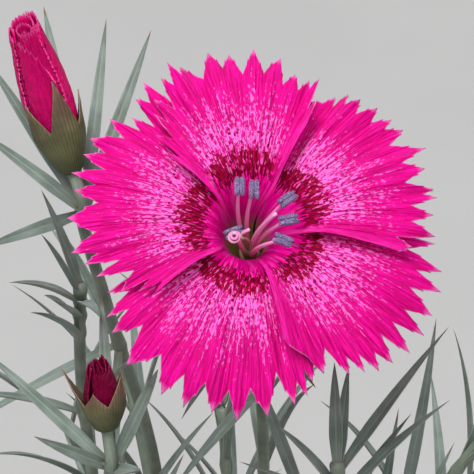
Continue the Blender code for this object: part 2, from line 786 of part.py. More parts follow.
def make_rolled(name, foot, axis, length, width, parts, open_end):
    """The petals of a bud, rolled round each other: stepped layers that wind up to the end."""
    side, other = axes_along(axis)
    around = ROLL_LAYERS * ROLL_FACETS
    shape = OPEN_ROLL if open_end else CLOSED_ROLL
    rings = []
    for share in ROLL_LEVELS:
        reach = width / 2 * roll_width(share, shape)
        ring = []
        for i in range(around):
            turn = math.tau * i / around + share * ROLL_TWIST
            stands = mix(*ROLL_STEP, (i % ROLL_FACETS) / (ROLL_FACETS - 1)) if share > 0.0 else ROLL_FOOT
            teeth = ROLL_TOOTH * (i % 2) if share == 1.0 and open_end else 0.0
            out = side * math.cos(turn) + other * math.sin(turn)
            ring.append(foot + axis * (length * share + teeth) + out * (reach * stands))
        rings.append(ring)
    if not open_end:
        return object_from(loft(rings, foot + axis * (length + CLOSED_TIP)), name, parts)
    hollow = []
    middle = foot + axis * length
    for point in rings[-1]:
        spoke = point - middle
        spoke -= axis * spoke.dot(axis)
        hollow.append(middle + spoke * HOLLOW_NARROWS - axis * HOLLOW_DEPTHS[0])
    rings.append(hollow)
    return object_from(loft(rings, middle - axis * HOLLOW_DEPTHS[1]), name, parts)


def make_bud(name, parts):
    """A bud's calyx cup, and the rolled petals that stand in it with a little room."""
    bud = BUDS[name]
    foot, end = seen(*bud["foot"]), seen(*bud["end"])
    axis = (end - foot).normalized()
    half = bud["width"] / 2

    def radius_at(level):
        return half * mix(BUD_FOOT, 1.0, smoothstep(0.0, bud["calyx"] * BUD_WIDENS, level))

    cup = make_cup(
        name + "_cup", foot, axis, radius_at, 0.0, bud["calyx"], bud["calyx"] + bud["tooth"],
        parts, twist=bud["twist"])
    finish(cup, name + "_calyx", "calyx")
    base = foot + axis * (CALYX_WALL / 2 + GAP + ROLL_ROOM)
    rolled = make_rolled(
        name + "_petals", base, axis, (end - base).length, bud["petals"], parts, bud["open"])
    finish(rolled, name + "_petals", "bud")


def stem_route(foot, points, steps):
    """A stem: straight up out of the soil, then a smooth route through its points."""
    buried = Vector((foot.x, foot.y, SOIL_TOP - BURIED))
    ground = Vector((foot.x, foot.y, SOIL_TOP + SOIL_DOME + BARE_FOOT))
    return [buried, *through([ground, *points], steps)]


def at_height(route, share):
    """The point and the direction that share of the way along a route."""
    place = share * (len(route) - 1)
    step = min(int(place), len(route) - 2)
    along = (route[step + 1] - route[step]).normalized()
    return route[step].lerp(route[step + 1], place - step), along


def stem_top(foot, axis):
    """Where a stem ends, just under the cup that it carries."""
    return foot - axis * (CALYX_WALL / 2 + GAP)


def bud_axis(name):
    """The direction in which a bud points."""
    return (seen(*BUDS[name]["end"]) - seen(*BUDS[name]["foot"])).normalized()


# Stems that are seen in front: foot on the soil, points on the way, and their leaves,
# each as (share of the stem at its root, tip as seen, bow towards the stem's upper side)
FRONT_STEMS = {
    "flower_stem": {
        "foot": (1.0, 6.0),
        "way": ((1.6, 5.0, 116.0), (1.2, 0.5, 143.0)),
        "carries": "bloom",
        "leaves": (
            (0.33, (-12.0, -60.0, 34.0), 3.0), (0.33, (14.0, -58.0, 34.0), 3.0),
            (0.56, (-9.0, -30.0, 44.0), 3.0), (0.56, (9.5, -42.0, 16.0), 2.5),
            (0.8, (-8.0, -22.0, 17.0), 2.0), (0.8, (7.0, -18.5, 22.0), 2.0)),
    },
    "upper_bud_stem": {
        "foot": (-10.0, 11.0),
        "way": ((-12.5, 10.0, 120.0), (-17.0, 1.0, 154.0), (-20.0, -5.0, 176.0)),
        "carries": "upper_bud",
        "leaves": (
            (0.42, (-34.0, -24.0, 52.0), 3.0), (0.42, (-16.0, -40.0, 40.0), 3.0),
            (0.7, (-30.5, -3.0, 26.0), 3.0), (0.7, (-14.5, 0.5, 30.0), 3.0),
            (0.76, (-23.3, 24.0, 19.0), -5.5), (0.78, (-29.6, 18.0, 15.0), -3.0),
            (0.76, (-16.3, 22.6, 20.0), -1.5), (0.76, (-11.3, 21.4, 18.0), -1.0),
            (0.76, (-31.0, 10.4, 13.0), 1.5)),
    },
    "left_shoot": {
        "foot": (-18.0, 1.0),
        "way": ((-20.0, 0.5, 120.0), (-21.0, -5.5, 152.0), (-20.4, -9.0, 170.0)),
        "carries": None,
        "leaves": (
            (0.4, (-38.0, -42.0, 36.0), 3.0), (0.62, (-33.0, -19.0, 26.0), 3.0),
            (0.62, (-12.5, -14.5, 26.0), 2.0),
            (0.95, (-27.2, -6.8, 11.0), 3.0), (0.95, (-17.0, -10.8, 9.0), 2.0),
            (0.98, (-23.6, -1.4, 12.0), 0.8), (1.0, (-23.6, 3.6, 14.0), 0.8),
            (0.9, (-23.3, -8.2, 8.0), 1.0), (0.84, (-24.8, -10.1, 14.0), 2.0)),
    },
    "lower_bud_stem": {
        "foot": (-13.5, -15.0),
        "way": ((-15.5, -18.5, 120.0), (-17.0, -25.0, 146.0), (-16.6, -27.8, 158.0)),
        "carries": "lower_bud",
        "leaves": (
            (0.5, (-31.0, -40.0, 18.0), 3.0), (0.5, (-5.0, -42.0, 12.0), 3.0),
            (0.78, (-30.0, -14.3, 10.0), -1.0), (0.74, (-24.5, -23.9, 4.0), 1.0),
            (0.76, (-12.6, -27.7, -1.0), -1.0), (0.8, (-11.3, -18.0, 6.0), -2.5),
            (0.8, (-10.6, -16.4, 11.0), -3.0), (0.78, (-16.9, -8.4, 15.0), -4.0)),
    },
    "right_shoot": {
        "foot": (12.0, -17.0),
        "way": ((12.0, -20.0, 120.0), (11.0, -26.5, 146.0), (9.6, -29.5, 160.5)),
        "carries": None,
        "leaves": (
            (0.5, (28.0, -42.0, 16.0), 3.0), (0.5, (-1.0, -44.0, 16.0), 3.0),
            (0.86, (21.9, -19.8, 10.0), 2.0), (0.86, (2.0, -22.3, 8.0), 3.0),
            (0.97, (21.8, -11.6, 14.0), 1.0), (0.8, (17.6, -21.3, 13.0), 1.0),
            (0.8, (-1.6, -26.7, 8.0), 1.5), (1.0, (9.0, -15.6, 11.0), 0.4),
            (0.98, (10.6, -16.0, 13.0), 0.4)),
    },
}


class Foliage:
    """The routes that are taken so far, so that a new leaf is bent clear of them."""

    def __init__(self):
        self.taken = []

    def add(self, owner, points):
        """Notes the points of a leaf or stem of one node."""
        self.taken.extend((owner, point) for point in points)

    def is_clear(self, owner, points, clear):
        """Whether points keep their distance from the other nodes, the soil and the pot."""
        for point in points:
            reach = math.hypot(point.x, point.y)
            over_rim = reach > POT_RIM_RADIUS - INSIDE_RIM and point.z < POT_HEIGHT + ABOVE_RIM
            if point.z < SOIL_TOP + ABOVE_SOIL or over_rim:
                return False
            beside = point - BLOOM
            if beside.x > ROOM_BESIDE[0] and beside.dot(UP) > ROOM_BESIDE[1]:
                return False
            for other, place in self.taken:
                if other != owner and (place - point).length_squared < clear * clear:
                    return False
        return True


def note_bloom(foliage):
    """The room that the bloom, its calyx and the buds take."""
    for ring in range(1, BLOOM_RINGS + 1):
        radius = RING_STEP * ring
        count = RING_POINTS + ring * 4
        for i in range(count):
            turn = math.tau * i / count
            foliage.add("bloom", [in_bloom(
                radius * math.cos(turn), radius * math.sin(turn), throat(radius) - UNDER_PETALS)])
    for level in CALYX_POINTS:
        foliage.add("bloom", [BLOOM - AXIS * level])
    for name, bud in BUDS.items():
        foot, end = seen(*bud["foot"]), seen(*bud["end"])
        foliage.add(name, [foot.lerp(end, i / BUD_POINTS) for i in range(BUD_POINTS + 1)])


def build_stem(name, route, leaves, sections, parts):
    """One node: a stem with swollen joints, and its leaves sunk into it."""
    joints = [share * (len(route) - 1) for share, *_ in leaves]
    radii = []
    for i in range(len(route)):
        at_joint = any(abs(i - joint) < JOINT_NEAR for joint in joints) and 1 < i < len(route) - 1
        radii.append(STEM_RADIUS * (JOINT_SWELL if at_joint else 1.0))
    pieces = [rod(route, radii, name + "_rod", parts)]
    for number, (root, bend, tip, way, width) in enumerate(blades_of(route, leaves)):
        pieces.append(
            blade(root, bend, tip, way, width, f"{name}_leaf_{number}", parts, sections))
    return finish(joined(name, pieces, parts), name, "leaf")


def blades_of(route, leaves):
    """The root, bend, tip, stem direction and width of each leaf of a stem."""
    found = []
    for share, tip, bow, width in leaves:
        point, way = at_height(route, share)
        span = tip - point
        out = span - way * span.dot(way)
        out = out.normalized() if out.length > LEAST_SPAN else RIGHT
        root = point + out * ROOT_OUT - way * ROOT_DOWN
        shift = (way * BOW_UP - out * BOW_BACK) * bow if bow > 0 else out * -bow
        bend = root.lerp(tip, 0.5) + shift
        found.append((root, bend, tip, way, width))
    return found


def front_stem(name, foliage):
    """The route and leaves of a stem whose leaves are set by hand."""
    plan = FRONT_STEMS[name]
    foot = Vector((*plan["foot"], 0.0))
    points = [Vector(point) for point in plan["way"]]
    if plan["carries"] == "bloom":
        end = BLOOM + AXIS * CALYX_BOTTOM
        points.append(stem_top(end, AXIS) - AXIS * BLOOM_NECK)
        points.append(stem_top(end, AXIS))
    elif plan["carries"]:
        axis = bud_axis(plan["carries"])
        end = seen(*BUDS[plan["carries"]]["foot"])
        points.append(stem_top(end, axis) - axis * BUD_NECK)
        points.append(stem_top(end, axis))
    route = stem_route(foot, points, FRONT_STEPS)
    leaves = [(share, seen(*tip), bow, LEAF_WIDTH) for share, tip, bow in plan["leaves"]]
    foliage.add(name, spaced(route))
    for root, bend, tip, _, _ in blades_of(route, leaves):
        foliage.add(name, arc(root, bend, tip, LEAF_POINTS))
    return foot, route, leaves


def cushion_shoot(name, bearing, radius, height, foliage, rng):
    """The route and leaves of a shoot of the cushion, bent clear of what stands near it."""
    for _ in range(TRIES):
        turn = math.radians(bearing + rng.uniform(*CUSHION_TURN))
        stand = radius + rng.uniform(*CUSHION_STRAY)
        foot = Vector((stand * math.cos(turn), stand * math.sin(turn), 0.0))
        out = Vector((math.cos(turn), math.sin(turn), 0.0))
        lean = rng.uniform(*CUSHION_LEAN) + radius * CUSHION_LEAN_OUT
        tall = height * rng.uniform(*CUSHION_TALL)
        start = SOIL_TOP + CUSHION_START
        points = [foot + out * (lean * tall * s * s) + Vector((0.0, 0.0, start + tall * s))
                  for s in CUSHION_WAY]
        route = stem_route(foot, points, CUSHION_STEPS)
        if foliage.is_clear(name, spaced(route[2:]), CUSHION_CLEAR):
            break
    foliage.add(name, spaced(route))
    leaves = []
    joints = max(JOINTS_LEAST, round(tall / CUSHION_JOINT))
    for joint in range(1, joints + 1):
        share = mix(FIRST_JOINT, 1.0, joint / joints)
        point, way = at_height(route, share)
        for half in (0, 1):
            tip = clear_tip(name, point, way, joint * 90.0 + half * 180.0, share, foliage, rng)
            if tip:
                leaves.append((share, *tip))
    return foot, route, leaves


def clear_tip(name, point, way, bearing, share, foliage, rng):
    """A tip, bow and width for a leaf of the cushion that keeps clear, or None."""
    side, other = axes_along(way)
    for attempt in range(TRIES):
        turn = math.radians(bearing + rng.uniform(*LEAF_TURN))
        out = side * math.cos(turn) + other * math.sin(turn)
        length = rng.uniform(*CUSHION_LEAF) * mix(*LEAF_SHORTENS, attempt / TRIES)
        length *= mix(*LENGTH_BY_HEIGHT, share)
        open_by = math.radians(rng.uniform(*LEAF_OPENS) * mix(*OPEN_BY_HEIGHT, share))
        tip = point + (way * math.cos(open_by) + out * math.sin(open_by)) * length
        bow = rng.uniform(*LEAF_BOW)
        width = LEAF_WIDTH * rng.uniform(*LEAF_VARIES)
        blade_line = [(root, bend, end) for root, bend, end, _, _ in
                      blades_of([point, point + way], [(0.0, tip, bow, width)])][0]
        if foliage.is_clear(name, arc(*blade_line, TIP_POINTS)[1:], CLEAR):
            foliage.add(name, arc(*blade_line, TIP_POINTS))
            return tip, bow, width
    return None


def make_plant(parts):
    """Every stem with its leaves; gives back where each one stands in the soil."""
    foliage = Foliage()
    note_bloom(foliage)
    feet = {}
    plans = {}
    for name in FRONT_STEMS:
        feet[name], route, leaves = front_stem(name, foliage)
        plans[name] = (route, leaves)
    rng = random.Random(SEED)
    number = 0
    for count, radius, first, height in CUSHION:
        for i in range(count):
            number += 1
            name = f"cushion_shoot_{number:02d}"
            bearing = first + 360.0 * i / count
            feet[name], route, leaves = cushion_shoot(name, bearing, radius, height, foliage, rng)
            plans[name] = (route, leaves)
    for name, (route, leaves) in plans.items():
        sections = LEAF_SECTIONS if name in FRONT_STEMS else CUSHION_SECTIONS
        build_stem(name, route, leaves, sections, parts)
    return feet


def main():
    """Builds the whole plant."""
    clear_scene()
    parts = new_collection(PLANT)
    make_pot(parts)
    feet = make_plant(parts)
    make_soil(parts, feet)
    make_calyx(parts)
    make_petals(parts)
    make_stamens(parts)
    for name in BUDS:
        make_bud(name, parts)


main()
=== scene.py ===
"""Looks of a dianthus plant in its pot: one fringed bloom, two buds and leafy shoots.

The file is laid out as an add-on and is run as a script. The layout is in millimetres, and a
mesh is in metres. The origin is the middle of the pot's underside, and the bloom looks to -Y.
"""

import math
import random

import bpy
from bpy.props import FloatProperty, FloatVectorProperty, IntProperty, PointerProperty
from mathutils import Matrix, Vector, noise


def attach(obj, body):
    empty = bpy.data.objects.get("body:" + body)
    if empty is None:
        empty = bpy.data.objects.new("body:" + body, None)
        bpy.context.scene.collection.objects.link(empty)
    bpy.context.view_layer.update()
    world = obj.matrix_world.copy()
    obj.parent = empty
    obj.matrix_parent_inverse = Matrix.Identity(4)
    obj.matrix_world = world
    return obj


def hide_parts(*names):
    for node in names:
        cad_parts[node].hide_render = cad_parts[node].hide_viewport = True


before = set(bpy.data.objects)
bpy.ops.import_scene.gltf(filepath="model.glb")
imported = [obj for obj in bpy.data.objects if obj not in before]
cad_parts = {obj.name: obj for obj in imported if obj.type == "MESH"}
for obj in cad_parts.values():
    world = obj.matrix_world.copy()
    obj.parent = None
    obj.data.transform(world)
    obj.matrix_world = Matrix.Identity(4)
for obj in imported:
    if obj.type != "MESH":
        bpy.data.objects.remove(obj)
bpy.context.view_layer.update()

bl_info = {
    "name": "Potted Dianthus",
    "version": (1, 0, 0),
    "blender": (4, 5, 0),
    "location": "View3D > Sidebar > Dianthus",
    "description": "Dresses a dianthus plant in its pot with petals, leaves, soil and clay",
    "category": "Object",
}

MM = 0.001
WELD = 0.002
SEED = 11

# Pot and soil
POT_HEIGHT = 76.0
POT_RIM_RADIUS = 45.0
POT_FOOT_RADIUS = 30.0
POT_WALL = 3.5
POT_FLOOR = 5.0
RIM_HEIGHT = 15.0
RIM_STANDS_OUT = 2.6
RIM_DRAFT = 1.0
EDGE_ROUND = 1.2
CORNER_ROUND = 1.1
DRAIN_HOLES = 5
DRAIN_RADIUS = 3.0
DRAIN_CIRCLE = 19.0
SOIL_TOP = 68.0
SOIL_DOME = 2.0
BURIED = 12.0
GAP = 0.3
# crumbs: how far out they lie, their size, the share and factor of big ones, how they stretch
CRUMBS_WITHIN = 0.97
CRUMB_SIZE = (0.35, 1.0)
BIG_SHARE = 0.12
BIG_FACTOR = 1.6
CRUMB_WIDE = (0.7, 1.3)
CRUMB_FLAT = (0.5, 0.9)
CRUMB_LUMPS = 0.35

# The line of sight that the plant is laid out for, and the bloom on it
VIEW_DROP = math.radians(40.0)
VIEW_DISTANCE = 350.0
FRAME_WIDTH = 52.67
AIM = (-1.89, -1.78, 0.0)
BLOOM_RISE = math.radians(60.0)
BLOOM = Vector((0.0, -21.0, 190.0))
RIGHT = Vector((1.0, 0.0, 0.0))
UP = Vector((0.0, math.sin(VIEW_DROP), math.cos(VIEW_DROP)))
AWAY = Vector((0.0, math.cos(VIEW_DROP), -math.sin(VIEW_DROP)))
AXIS = Vector((0.0, -math.cos(BLOOM_RISE), math.sin(BLOOM_RISE)))
CROWN = Vector((0.0, math.sin(BLOOM_RISE), math.cos(BLOOM_RISE)))

# Petals
THROAT_DEPTH = 10.5
THROAT_RADIUS = 1.8
THROAT_FLARE = 2.0
THROAT_LEANS = (-0.8, 0.45)
SHOULDER = 8.0
LIMB_REACH = 21.0
LIMB_DROOP = 3.2
LIMB_ROWS = 50
OVER = 0.8
UNDER = -0.85
CLAW_NARROWS = 0.8
CLAW_WIDE_BY = 4.6
CLAW_FREE_FROM = 1.7
CLAW_FREE_BY = 7.0
CLAW_RIDGE = 0.13
PETAL_CUP = 0.35
PETAL_EDGE = 0.4
TOOTH_CURL = 0.5
EDGE_STEP = 0.2
RIDGE_WIDTH = 0.65
# a tooth's side: how it bows, where its notch sits, from which height, how high and how wide
SIDE_BOW = 0.92
NOTCH_AT = (0.35, 0.7)
NOTCHED_FROM = 1.3
NOTCH_HEIGHT = 0.5
NOTCH_WIDTH = 0.1
# the height from which a tooth's tip turns pale, and the value of lower ones
PALE_FROM = 0.5
LOW_TOOTH = 0.3
# a petal's sides: width of the roll, how far a free side curls up and a covered one lies down
ROLL_WIDTH = 0.9
ROLL_UP = 0.75
ROLL_DOWN = -0.15
# how far in from its outline a petal has its full thickness
THINS_WITHIN = 1.6
# degrees and millimetres that the whole width and height of a petal's fan map stand for
FAN_TURN = 420.0
FAN_REACH = 25.0
# a cleft's depth: its least, its share of the tooth's width, its most, and how far it varies
CLEFT_LEAST = 0.45
CLEFT_SHARE = 1.0
CLEFT_MOST = 3.4
CLEFT_VARIES = (0.75, 1.1)
TOOTH_LEAST = 0.9
CLEFT_STRAYS = (-0.1, 0.1)
# the claw's rows: radius, and level where it doesn't follow the throat
CLAW = ((1.8, -14.5), (1.8, -12.5), (1.8, -10.5), (1.95, None), (2.15, None), (2.4, None),
        (2.7, None), (3.05, None), (3.4, None), (3.8, None), (4.2, None))
# waves, pleats and veins: height, radii that they set in between, width in degrees, length, place
PETAL_RELIEF = ((0.8, 9.0, 20.0, 15.0, 16.0, 0.0), (0.85, 5.0, 18.0, 5.6, 22.0, 3.0),
                (0.3, 4.0, 14.0, 2.1, 26.0, 5.0), (0.09, 5.0, 10.0, 0.9, 20.0, 8.0))
# name: lift at its first side, lift at its last side, teeth as (bearing in degrees, reach)
PETALS = {
    "top": (OVER, OVER, (
        (62, 12.5), (63.5, 16), (67.5, 19.6), (70.5, 19), (75.5, 19), (81.5, 21), (90, 21.9),
        (97.5, 21.5), (103.5, 22.5), (113, 21.4), (116, 22.6), (120, 21.1), (126.5, 19),
        (130.5, 17.3), (136, 15.3), (142, 12.5))),
    "upper_right": (OVER, UNDER, (
        (-12, 16.5), (-9, 17.8), (-3, 20.3), (4.5, 20.2), (10.5, 20.9), (14, 20.9), (20, 20.5),
        (27, 21.8), (36.5, 21.2), (41, 20.8), (46.5, 20.5), (53, 20.2), (57.5, 20), (60.5, 18.9),
        (63, 17.2), (65.5, 17), (68, 16.5), (71, 14.5))),
    "lower_right": (OVER, UNDER, (
        (-77, 14), (-75.3, 15.2), (-72.2, 15.7), (-69.1, 16.5), (-66.1, 18.9), (-58.5, 20.1),
        (-54.5, 21), (-50.5, 21.6),
        (-46, 22), (-39.5, 22.4), (-32.5, 22.4), (-26.5, 22.2), (-18, 22), (-11.5, 21.5),
        (-4.5, 20.4), (0, 15))),
    "bottom": (UNDER, UNDER, (
        (-163, 14), (-155, 18), (-148, 19.3), (-142, 20), (-132.5, 21), (-118.5, 21.5),
        (-111, 21.9), (-102.5, 21.6), (-95, 21.8), (-86, 21.5), (-77.5, 20.7), (-73, 20.2),
        (-70, 18.8), (-67.3, 17), (-64.4, 14.5))),
    "left": (UNDER, OVER, (
        (121, 17), (124, 22.6), (129, 21.5), (135, 19.6), (139, 21.8), (148, 22), (154, 21.5),
        (161.5, 21.7), (166.5, 20.8), (176.5, 21), (189, 20.6), (193, 19.5), (200, 18.6),
        (208, 16.8), (213, 15.2), (218.5, 14))),
}

# Stamens and style on the bloom's own axes: across, towards its crown, along its axis, and how
# far each anther leans to the right; the bare filament comes last and has none
ANTHERS = (
    (-1.6, 3.0, 3.0, 0.0), (0.0, 2.4, 3.6, 0.0), (3.7, 1.4, 3.2, 0.95),
    (3.8, -0.9, 2.8, 1.42), (3.2, -3.2, 2.6, 1.95), (-2.2, -2.2, 2.3, 1.2))
BARE_FILAMENT = (2.4, -0.4, 3.4)
BENDS = ((-2.3, 0.6, -1.0), (-1.4, 0.4, -1.0), (-0.6, -1.2, -1.0), (-0.2, -2.0, 0.5),
         (-0.6, -3.4, 1.2), (-1.8, -1.6, -1.0), (-0.8, -1.8, 0.0))
ANTHER_LENGTH = 2.25
ANTHER_WIDTH = 1.15
FILAMENT_RADIUS = 0.165
FILAMENT_FOOT = 0.34
FILAMENT_CIRCLE = 0.45
FILAMENT_STEPS = 24
FILAMENTS_LEFT = 0.4
BARE_THICKER = 1.2
BARE_TIP = 1.15
STYLE_RADIUS = 0.15
BRANCH_RADIUS = 0.2
# a lobe: how blunt its ends are, its grain, its seam's depth and width, its half width and height
LOBE_BLUNT = 0.75
LOBE_GRAIN = 0.12
SEAM_DEPTH = 0.2
SEAM_WIDTH = 0.16
LOBE_WIDE = 0.325
LOBE_HIGH = 0.46
OVARY_TOP = -10.6
STYLE_CURL = 0.75
STYLE_TURN_STEPS = 22
STYLE_STEPS = 52
STYLE_BEND = (-0.3, -0.3, -4.0)
STYLE_AT = (-1.4, -3.2, 3.2)
STYLE_BRANCH = ((-0.4, -0.4, -11.0), (-1.3, -1.6, -4.0), (-1.6, -2.3, 0.5), (-1.3, -2.35, 2.4),
                (-0.55, -2.1, 3.0))

# Calyx of the bloom, its scales as (height, how far out) at root, bend and tip, and all calyxes
CALYX_BOTTOM = -26.0
CALYX_RADIUS = 2.9
CALYX_FOOT_RADIUS = 2.45
CALYX_WALL = 0.65
CALYX_TOOTH_TOP = -3.7
CALYX_TOOTH_FOOT = -8.5
CLASP = 1.25
CLASP_FROM = -9.5
SCALES = 4
SCALE_LINE = ((0.5, 2.0), (5.0, 3.1), (9.5, 4.0))
SCALE_WIDTH = 3.4
TEETH = 5
TOOTH_COLUMNS = 24
CUP_ROWS = 34
CUP_TUBE_ROWS = 20
CUP_RIBS = 45
CALYX_EDGE = 0.35
BLOOM_TEETH = ((1.0, 0.0),) * TEETH
# points of the ovary that stands in the calyx, each with its radius last
OVARY = ((0.0, 0.0, CALYX_BOTTOM + CALYX_WALL / 2 + GAP, 1.05), (0.0, 0.0, -20.0, 1.05),
         (-0.05, 0.0, -15.0, 1.1), (-0.35, 0.2, -12.0, 1.25), (-0.5, 0.3, -10.8, 1.2),
         (-0.5, 0.3, -10.2, 0.8))

# Stems and leaves
STEM_RADIUS = 0.8
JOINT_SWELL = 1.3
JOINT_REACH = 0.14
STEM_TAPER = 0.85
LEAF_WIDTH = 2.0
LEAF_SLIMMER = 0.86
LEAF_DEPTH = 0.5
LEAF_ROOT_WIDTH = 0.62
LEAF_TWIST = 0.5
FACES = 0.65
# a blade: where it is widest, how it narrows, how far it folds and thins; the depth and width
# of its groove and keel
BELLY_BY = 0.35
NARROWS = 2.6
FOLD = 0.42
TIP_THINS = 0.55
GROOVE = (0.13, 0.22)
KEEL = (0.3, 0.3)

# Cushion of leafy shoots: (number, radius of their circle, first bearing, height)
CUSHION = ((5, 12.0, 20.0, 60.0), (9, 28.5, 8.0, 46.0))
CUSHION_JOINT = 11.2
CUSHION_LEAF = (25.0, 34.0)
# how far its shoots stray, lean, vary in height and stay clear; their points and first joint
CUSHION_TURN = (-14, 14)
CUSHION_STRAY = (-3, 3)
CUSHION_LEAN = (0.1, 0.35)
CUSHION_LEAN_OUT = 0.004
CUSHION_TALL = (0.85, 1.15)
CUSHION_WAY = (0.4, 0.75, 1.0)
CUSHION_START = 3.5
CUSHION_CLEAR = 4.2
JOINTS_LEAST = 3
FIRST_JOINT = 0.12
# how its leaves turn, shorten with each try and with height, open, bow and vary in width
LEAF_TURN = (-30, 30)
LEAF_SHORTENS = (1.0, 0.75)
LENGTH_BY_HEIGHT = (1.1, 0.8)
LEAF_OPENS = (30, 72)
OPEN_BY_HEIGHT = (1.1, 0.6)
LEAF_BOW = (3.0, 7.0)
LEAF_VARIES = (0.9, 1.15)

# The room that leaves keep to: clear of the soil, the rim, the bloom and each other
ROOM_BESIDE = (8.0, -11.0)
ABOVE_SOIL = 5.0
INSIDE_RIM = 10.0
ABOVE_RIM = 3.0
BLOOM_RINGS = 8
RING_STEP = 2.8
RING_POINTS = 6
UNDER_PETALS = 1.5
CALYX_POINTS = range(5, 27, 3)
BUD_POINTS = 6
TRIES = 60
CLEAR = 3.4
LEAF_POINTS = 8
TIP_POINTS = 10

# Stems: bare foot, necks under the calyxes, steps between points; a leaf's root and its bow
BARE_FOOT = 1.0
BLOOM_NECK = 6.0
BUD_NECK = 4.0
FRONT_STEPS = 3
CUSHION_STEPS = 2
ROOT_OUT = 0.1
ROOT_DOWN = 0.3
BOW_UP = 0.6
BOW_BACK = 0.2
LEAST_SPAN = 0.5

# Buds. foot, end: as seen. calyx, tooth: heights of the calyx and its teeth. twist: its turn.
# teeth: each one's share of that height and how far it leans out. radii: the roll's, from foot
# to end. slant: how far the end leans to the viewer. tall: the roll's share of the length.
# hole, sinks: how far its inner end keeps from the middle, and how deep it lies. wraps: outer
# petals as first and last bearing (0 behind, 90 left, 180 in front), how far each of these
# sides stands out, and how high the margin reaches from the first to the last
BUDS = {
    "upper_bud": {
        "foot": (-20.1, 5.6, 12.0), "end": (-25.8, 22.4, 8.0), "calyx": 5.3, "tooth": 5.9,
        "width": 5.6, "twist": 0.42,
        "teeth": ((0.8, 0.05), (0.68, 0.06), (1.0, 0.06), (0.6, 0.14), (0.8, 0.05)),
        "radii": (0.75, 1.65, 2.4, 2.75, 2.85, 2.7, 2.4, 2.0, 1.6), "slant": 1.15, "tall": 0.97,
        "turns": 2.33, "ragged": 0.2, "hole": 0.26, "sinks": 1.5,
        "wraps": (
            (165.0, 262.0, 0.92, 0.93, (0.98, 1.0, 1.0, 1.0, 0.98)),
            (225.0, 385.0, 1.03, 0.9, (0.97, 1.0, 1.0, 0.98, 0.96)),
            (15.0, 127.0, 0.88, 1.02, (0.9, 0.94, 0.96, 0.97, 0.96)),
            (137.0, 213.0, 0.97, 1.06, (0.95, 0.94, 0.91, 0.82, 0.6)))},
    "lower_bud": {
        "foot": (-16.3, -23.0, 8.0), "end": (-17.4, -14.9, 5.5), "calyx": 3.3, "tooth": 2.4,
        "width": 4.6, "twist": 0.91,
        "teeth": ((1.8, 0.4), (0.72, 0.0), (1.4, 0.18), (1.3, 0.1), (1.2, 0.05)),
        "radii": (0.65, 1.25, 1.75, 2.0, 2.05, 1.95, 1.7, 1.45, 1.1), "slant": 0.9, "tall": 0.84,
        "turns": 2.33, "ragged": 1.3, "hole": 0.14, "sinks": 0.7,
        "wraps": (
            (205.0, 380.0, 0.95, 0.9, (0.93, 0.97, 0.98, 0.95, 0.9)),
            (15.0, 134.0, 0.88, 1.0, (0.86, 0.93, 0.95, 0.9, 0.8)),
            (140.0, 250.0, 0.96, 1.03, (0.5, 0.78, 0.95, 0.76, 0.5)))},
}
BUD_FOOT = 0.36
BUD_SHEET = 0.16
CORE_GRID = (240, 24)
CORE_OUTSIDE = 0.86
CORE_TEETH = 39.0
CORE_MAP_TURNS = 3.0
WRAP_GRID = (60, 64)
WRAP_TEETH = 5.0
SIDE_TEETH = 0.42

